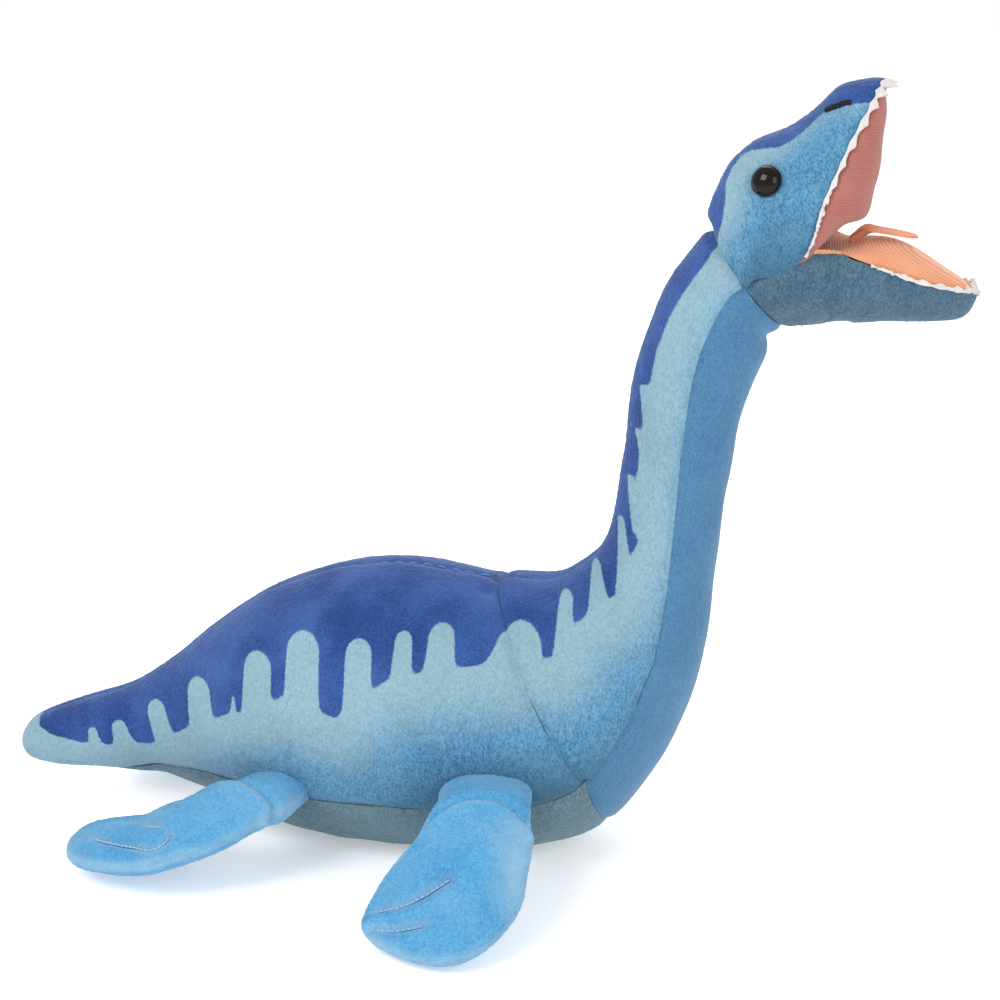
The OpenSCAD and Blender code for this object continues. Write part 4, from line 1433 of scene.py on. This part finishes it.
@dataclass(frozen=True)
class Flipper:
    """One kind of flipper: two shells of plush, quilted toes and its place on the body."""

    word: str
    length: float
    width: float
    root: tuple[float, float, float]
    turn: float
    shares: tuple[tuple[float, ...], ...]
    toes: tuple[tuple[tuple[float, float], ...], ...]
    crease: tuple[float, float, float]
    pale_side: float
    nu: int
    nv: int
    seed: int

    def rows(self) -> Array:
        """Rows of out, along, height, turn, dip, half width and half thickness, from inside the body out."""
        r = PATTERN.flipper_t / 2
        first = self.shares[0][5]
        made = [[-15.5, 0, 0, 0, 0, self.width / 2 * first * 0.90, r * 0.86],
                [-9.0, 0, 0, 0, 0, self.width / 2 * first * 0.97, r * 0.95]]
        for out, along, drop, turn, dip, wide, thick in self.shares:
            made.append([self.length * out, self.width * along, -self.length * drop, turn, dip,
                         self.width * wide / 2, r * thick])
        return np.array(made, float)

    def point(self, u: Array, angle: Array, depth: Array) -> Array:
        """A point of the flipper in the toy's own frame; angle 0 is its top and 90 its trailing edge."""
        row = along_rows(self.rows(), u)
        inward = np.minimum(depth, 0.6 * row[..., 6])
        round_, turn, dip = np.radians(angle), np.radians(row[..., 3]), np.radians(row[..., 4])
        w = -(row[..., 5] - inward) * np.sin(round_)
        c = (row[..., 6] - inward) * np.cos(round_)
        x = row[..., 0] + np.sin(turn) * w + np.sin(dip) * np.cos(turn) * c
        y = row[..., 1] + np.cos(turn) * w - np.sin(dip) * np.sin(turn) * c
        z = np.maximum(row[..., 2] + np.cos(dip) * c, np.maximum(depth, 0) - self.root[2])
        a = math.radians(self.turn - 90)
        return np.stack([self.root[0] + math.cos(a) * x - math.sin(a) * y,
                         self.root[1] + math.sin(a) * x + math.cos(a) * y, self.root[2] + z], -1)

    def toe_line(self, line: tuple[tuple[float, float], ...], lift: float) -> Array:
        """Points along one quilted line of the toes, a height above the skin."""
        knots = np.array(line, float)
        at = along_rows(knots, np.linspace(0, len(knots) - 1, 60))
        return self.point(at[:, 0], at[:, 1], np.full(60, -lift))

    def from_toe_line(self, line: tuple[tuple[float, float], ...], p: Array) -> Array:
        """How far points are from one quilted line."""
        away = np.full(p.shape[:-1], 1e9)
        for q in self.toe_line(line, 0.0):
            away = np.minimum(away, np.linalg.norm(p - q, axis=-1))
        return away

    def grooves(self, p: Array, swelling: Array) -> Array:
        """Depth of the quilted lines, which hold the swelling down between them."""
        depth = swelling
        for line in self.toes:
            away = self.from_toe_line(line, p)
            depth = depth * (1 - np.exp(-((away / 3.5) ** 2)))
        for line in self.toes:
            away = self.from_toe_line(line, p)
            depth += 2.3 * np.exp(-((away / 1.9) ** 2)) - 0.8 * np.exp(-(((away - 5.0) / 2.4) ** 2))
        return depth

    def shell(self, node: str, low: float, high: float, top: bool, puff: "Puff") -> bpy.types.Object:
        """One of the two shells.

        Args:
            node: the CAD node it stands for.
            low: the first angle.
            high: the last angle.
            top: whether it is the upper one, with the quilted toes.
            puff: how the filling wrinkles the cloth.

        Returns:
            The shell.
        """
        last = len(self.rows()) - 1
        rows = np.linspace(0.0, last, 400)
        side = self.point(rows, np.full_like(rows, 20.0), np.zeros_like(rows))
        run = np.concatenate([[0], np.cumsum(np.linalg.norm(np.diff(side, axis=0), axis=1) + 0.03)])

        def place(s: Array, t: Array, depth: Array) -> Array:
            return self.point(np.interp(s * run[-1], run, rows), mix(low, high, t), depth)

        def worn(s: Array, t: Array, p: Array) -> Array:
            swelling = puff.depth(p)
            return self.wrinkles(p) + (self.grooves(p, swelling) if top else swelling)

        seams = Seams(start=0.0, end=0.6, first=1.3, last=1.3, roll=2.4)
        obj = Cut(node + SEWN, place, self.nu, self.nv, 1.6, seams, 0.5, 22.0, 0.12, self.seed, worn).lay()
        self.rub(obj)
        return obj

    def wrinkles(self, p: Array) -> Array:
        """The gathers across the root, where the flipper is sewn to the body."""
        a = math.radians(self.turn - 90)
        out = (p[..., 0] - self.root[0]) * math.cos(a) + (p[..., 1] - self.root[1]) * math.sin(a)
        along = (p[..., 1] - self.root[1]) * math.cos(a) - (p[..., 0] - self.root[0]) * math.sin(a)
        middle, slope, bend = self.crease
        fold = out - middle - slope * along - bend * along**2
        crease = 2.0 * np.exp(-((fold / 1.9) ** 2)) - 0.9 * np.exp(-(((fold - 4.0) / 2.6) ** 2))
        second = 0.7 * np.exp(-(((fold - 7.5 - 0.2 * along) / 2.0) ** 2)) * np.clip(0.5 + along / 16, 0, 1)
        gathers = 0.35 * np.sin(along * 0.62 + out * 0.25) * np.exp(-(((out - 1.0) / 7.0) ** 2))
        return (crease + second * (bend == 0) + gathers) * np.clip((p[..., 2] - self.root[2] + 9) / 5, 0, 1)

    def rub(self, obj: bpy.types.Object) -> None:
        """Stores where the pile is rubbed pale: at the edge, the fold at the root and beside the toe lines."""
        place = np.zeros(len(obj.data.vertices) * 3)
        obj.data.attributes[LAY].data.foreach_get("vector", place)
        p = place.reshape(-1, 3) / MM
        last = len(self.rows()) - 1
        u = np.linspace(1.5, last, 120)
        edge = np.vstack([self.point(u, np.full_like(u, a), np.zeros_like(u)) for a in (90.0, 270.0)])
        away = np.full(len(p), 1e9)
        for q in edge:
            away = np.minimum(away, np.linalg.norm(p - q, axis=-1))
        rubbed = np.exp(-((away / 3.4) ** 2))
        for line in self.toes:
            rubbed = np.maximum(rubbed, 0.8 * np.exp(-(((self.from_toe_line(line, p) - 1.2) / 1.3) ** 2)))
        a = math.radians(self.turn - 90)
        out = (p[:, 0] - self.root[0]) * math.cos(a) + (p[:, 1] - self.root[1]) * math.sin(a)
        along = (p[:, 1] - self.root[1]) * math.cos(a) - (p[:, 0] - self.root[0]) * math.sin(a)
        middle, slope, bend = self.crease
        ridge = np.exp(-(((out - middle - slope * along - bend * along**2 - 2.6) / 1.4) ** 2))
        ridge = ridge * (p[:, 2] > 30)
        side = self.pale_side * np.clip((along - 2) / 14, 0, 1) * np.clip((out - middle) / 8, 0, 1)
        rubbed = np.maximum(np.maximum(rubbed, ridge * 0.8), side)
        store(obj, RUB, np.clip(rubbed + 0.22 * lumps(p, 26.0, 7), 0, 1))

    def stitches(self) -> bpy.types.Object:
        """The thread of the toe lines, one short stitch after another in its groove."""
        places = []
        for line in self.toes:
            low, high = self.toe_line(line, -1.5), self.toe_line(line, 1.0)
            run = np.concatenate([[0], np.cumsum(np.linalg.norm(np.diff(low, axis=0), axis=1))])
            for middle in np.arange(1.2, run[-1] - 1.0, 2.3):
                here, ahead = (np.array([np.interp(middle + d, run,
                                                   low[:, k]) for k in range(3)]) for d in (0, 0.8))
                out = np.array([np.interp(middle, run, high[:, k]) for k in range(3)]) - here
                way = ahead - here
                places.append((here, way / np.linalg.norm(way), out / np.linalg.norm(out)))
        return Stitching(f"{self.word}_flipper_right_toe_stitches" + SEWN, 0.42, 2.2).sew(places)

    def build(self, materials: dict[str, bpy.types.Material]) -> list[bpy.types.Object]:
        """Makes both flippers of the kind.

        Args:
            materials: those made so far.

        Returns:
            The pieces.
        """
        puff = Puff.of(self)
        word = f"{self.word}_flipper_right_"
        upper = self.shell(word + "upper", -90.0, 90.0, True, puff)
        lower = self.shell(word + "lower", 90.0, 270.0, False, puff)
        thread = self.stitches()
        made = [(Side.RIGHT, obj) for obj in (upper, lower, thread)]
        made += [(Side.LEFT, mirrored(obj, obj.name.replace("right", "left"))) for _, obj in made]
        a = math.radians(self.turn - 90)
        for side, obj in made:
            dress(obj, TOE_THREAD if "toe" in obj.name else FLIPPER_PLUSH, materials)
            body = f"{self.word}_flipper_{side.word}"
            flip = 1.0 if side is Side.RIGHT else -1.0
            if "toe" in obj.name:
                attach(obj, body)
            else:
                start, end = ((self.root[0] + math.cos(a) * d, flip * (self.root[1] + math.sin(a) * d),
                               self.root[2])
                              for d in (-8.0, 9.0))
                [c * MM for c in start]
                [c * MM for c in end]
                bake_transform(obj)
            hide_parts(obj.name.removesuffix(SEWN))
            if "upper" in obj.name:
                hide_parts(body + "_stuffing")
        return [obj for _, obj in made]


@dataclass(frozen=True)
class Puff:
    """How the filling swells and wrinkles a flipper, from a cloth simulation of it under pressure."""

    points: Array
    depths: Array

    @classmethod
    def of(cls, flipper: Flipper) -> "Puff":
        """Simulates a flipper as one closed bag.

        Args:
            flipper: the kind of flipper.

        Returns:
            The swelling found.
        """
        last = len(flipper.rows()) - 1

        def place(s: Array, t: Array, depth: Array) -> Array:
            return flipper.point(s * last, 360.0 * t, depth + 1.0)

        s, t = np.meshgrid(np.linspace(0, 1, 41), np.linspace(0, 1, 33), indexing="ij")
        grid = place(s, t, np.zeros_like(s))
        grid[0], grid[-1] = grid[1].mean(0), grid[-2].mean(0)
        deselect()
        bpy.ops.mesh.primitive_grid_add(x_subdivisions=40, y_subdivisions=32, size=1.0)
        bag = bpy.context.object
        co = corners(bag)
        i, j = np.rint((co[:, 0] + 0.5) * 40).astype(int), np.rint((co[:, 1] + 0.5) * 32).astype(int)
        move_corners(bag, grid[i, j] * MM)
        bpy.ops.object.mode_set(mode="EDIT")
        bpy.ops.mesh.select_all(action="SELECT")
        bpy.ops.mesh.remove_doubles(threshold=0.00005)
        bpy.ops.mesh.normals_make_consistent(inside=False)
        bpy.ops.object.mode_set(mode="OBJECT")
        apply(bag, "REMESH", mode="VOXEL", voxel_size=0.004)
        before = corners(bag)
        normals = np.array([v.normal for v in bag.data.vertices])
        cloth = bag.modifiers.new("cloth", "CLOTH")
        cloth.settings.use_pressure = True
        cloth.settings.uniform_pressure_force = 4.0
        cloth.settings.effector_weights.gravity = 0.0
        cloth.settings.shrink_min = -0.03
        for number in range(1, 21):
            bpy.context.scene.frame_set(number)
        take(bag)
        bpy.ops.object.modifier_apply(modifier=cloth.name)
        bpy.context.scene.frame_set(1)
        out = ((corners(bag) - before) * normals).sum(1) / MM
        out = np.clip(out - np.median(out), -1.6, 1.6)
        bpy.data.objects.remove(bag)
        return cls(before / MM, out)

    def depth(self, p: Array) -> Array:
        """Depth of the cloth's hollows at some points, negative where it swells."""
        total, weight = np.zeros(p.shape[:-1]), np.full(p.shape[:-1], 1e-9)
        for q, out in zip(self.points, self.depths):
            w = np.exp(-((p - q) ** 2).sum(-1) / 18.0)
            total += w * out
            weight += w
        return -total / weight


ROOT_GAP = 1.2
FRONT = Flipper(
    "front", 60.0, 61.0,
    (PATTERN.body_x + PATTERN.chest_len * 0.385,
     -(PATTERN.body_w / 2 * 0.96 + PATTERN.flipper_t / 2 + ROOT_GAP), 42.0),
    4.0,
    ((0, 0, 0, 0, 0, 0.70, 1), (0.16, -0.01, -0.02, 0, 14, 0.74, 1), (0.35, -0.06, 0.12, 6, 40, 0.86, 1),
     (0.57, -0.16, 0.32, 12, 43, 1, 1), (0.78, -0.28, 0.49, 19, 36, 1, 0.88),
     (0.91, -0.39, 0.57, 26, 28, 0.84, 0.70),
     (0.975, -0.45, 0.60, 30, 22, 0.54, 0.46), (1, -0.48, 0.61, 32, 20, 0.17, 0.16),
     (1.005, -0.485, 0.612, 32, 20, 0.01, 0.01)),
    (((5.0, 0), (5.3, 8), (5.65, 18), (5.95, 32), (6.15, 50)), ((6.4, -2), (6.7, 8), (7.0, 22), (7.2, 50))),
    (12.6, 0.0, 0.010), 0.75, 92, 70, 51)
REAR = Flipper(
    "rear", 84.0, 44.0,
    (PATTERN.body_x - PATTERN.tail_len * 0.30,
     -(PATTERN.body_w / 2 * 0.82 + PATTERN.flipper_t / 2 + ROOT_GAP),
     42.0 * 0.84),
    -17.0,
    ((0, 0, 0, 0, 0, 0.76, 1), (0.09, -0.13, 0.01, 15, 22, 0.85, 1), (0.18, -0.36, 0.075, 35, 30, 0.97, 1),
     (0.235, -0.68, 0.155, 58, 24, 1.12, 0.98), (0.26, -1.0, 0.225, 75, 10, 1.16, 0.92),
     (0.265, -1.36, 0.26, 84, 4, 1.08, 0.82), (0.26, -1.64, 0.28, 88, 2, 0.82, 0.66),
     (0.25, -1.78, 0.285, 90, 0, 0.50, 0.44), (0.245, -1.825, 0.285, 90, 0, 0.16, 0.16),
     (0.245, -1.83, 0.285, 90, 0, 0.01, 0.01)),
    (((5.0, -38), (5.2, -50), (5.5, -54), (6.05, -40), (7.3, -26)), ((5.1, -16), (6.1, 2), (7.3, 10))),
    (6.3, 0.22, 0.0), 0.15, 104, 54, 52)


@dataclass(frozen=True)
class SpineStitches:
    """The closing stitches along the top of the back, behind the neck seam."""

    first: float = -40.0
    last: float = 8.0
    pitch: float = 6.2

    def build(self, materials: dict[str, bpy.types.Material]) -> list[bpy.types.Object]:
        """Sews and dresses the stitches.

        Args:
            materials: those made so far.

        Returns:
            The stitches.
        """
        rows = np.linspace(2.0, 10.4, 400)
        spine = PATTERN.torso().point(rows, np.zeros_like(rows), np.full_like(rows, 0.25))
        places = []
        for x in np.arange(self.first, self.last, self.pitch):
            here, ahead = (np.array([x + d, 0.0, np.interp(x + d, spine[:, 0],
                                                           spine[:, 2])]) for d in (0.0, 1.0))
            way = ahead - here
            places.append((here, way / np.linalg.norm(way), np.array([-way[2], 0.0, way[0]])))
        thread = Stitching("spine_stitches" + SEWN, 0.45, 3.6).sew(places)
        dress(thread, SEAM_THREAD, materials)
        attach(thread, "torso")
        return [thread]


MAKERS = (Torso(), Head(), Mouth(), FRONT, REAR, SpineStitches())


# ---------- Studio ----------


@dataclass(frozen=True)
class Studio:
    """A pale floor, soft lights and the camera."""

    target: tuple[float, float, float] = (0.0097, 0.0, 0.1545)
    azimuth: float = 8.0
    elevation: float = 18.0
    distance: float = 1.0
    lens: float = 85.7

    def build(self) -> None:
        """Makes the floor, the lights, the world and the camera."""
        self.floor()
        self.lamp("key", (-0.75, -0.95, 1.25), 0.75, 15.0)
        self.lamp("fill", (0.95, -0.85, 0.75), 0.8, 6.5)
        self.lamp("rim", (0.1, 1.1, 1.1), 0.8, 7.0)
        world = bpy.data.worlds.new("studio")
        bpy.context.scene.world = world
        world.use_nodes = True
        back = world.node_tree.nodes["Background"]
        back.inputs["Color"].default_value = opaque((1.0, 1.0, 1.0))
        back.inputs["Strength"].default_value = 0.72
        scene = bpy.context.scene
        scene.view_settings.view_transform = "Standard"
        self.camera()

    @staticmethod
    def floor() -> None:
        """A wide pale floor, which isn't part of the toy."""
        deselect()
        bpy.ops.mesh.primitive_plane_add(size=60.0, location=(0, 0, 0))
        obj = bpy.context.object
        obj.name = "studio_floor"
        material, bench = new_bench("floor_paper")
        cloud = bench.noise(bench.node("ShaderNodeTexCoord", {}, {}, 3), 3.0)
        close_bench(bench, {"Base Color": bench.dye(cloud, opaque((0.90, 0.90, 0.90)),
                                                    opaque((0.92, 0.92, 0.92))),
                            "Roughness": 0.9, "Specular IOR Level": 0.1,
                            "Emission Color": opaque((1.0, 1.0, 1.0)),
                            "Emission Strength": 0.34})
        obj.data.materials.append(material)

    def lamp(self, name: str, place: tuple[float, float, float], size: float, power: float) -> None:
        """One soft area light that faces the toy."""
        light = bpy.data.lights.new(name, "AREA")
        light.size, light.energy = size, power
        obj = bpy.data.objects.new(name, light)
        bpy.context.scene.collection.objects.link(obj)
        obj.location = place
        aim = Vector(self.target) - Vector(place)
        obj.rotation_euler = aim.to_track_quat("-Z", "Y").to_euler()

    def camera(self) -> None:
        """The camera, above the raised head and looking down on the body."""
        a, e = math.radians(self.azimuth), math.radians(self.elevation)
        back = Vector((math.sin(a) * math.cos(e), -math.cos(a) * math.cos(e), math.sin(e)))
        data = bpy.data.cameras.new("camera")
        data.lens, data.sensor_width = self.lens, 36.0
        obj = bpy.data.objects.new("camera", data)
        bpy.context.scene.collection.objects.link(obj)
        obj.location = Vector(self.target) + back * self.distance
        obj.rotation_euler = (-back).to_track_quat("-Z", "Y").to_euler()
        bpy.context.scene.camera = obj


def main() -> None:
    """Builds the pieces in order, then the studio."""
    logging.basicConfig(level=logging.INFO, format="%(name)s: %(message)s")
    materials: dict[str, bpy.types.Material] = {}
    for maker in MAKERS:
        for obj in maker.build(materials):
            log.info("%s, %d faces", obj.name, len(obj.data.polygons))
    Studio().build()


if __name__ == "__main__":
    main()
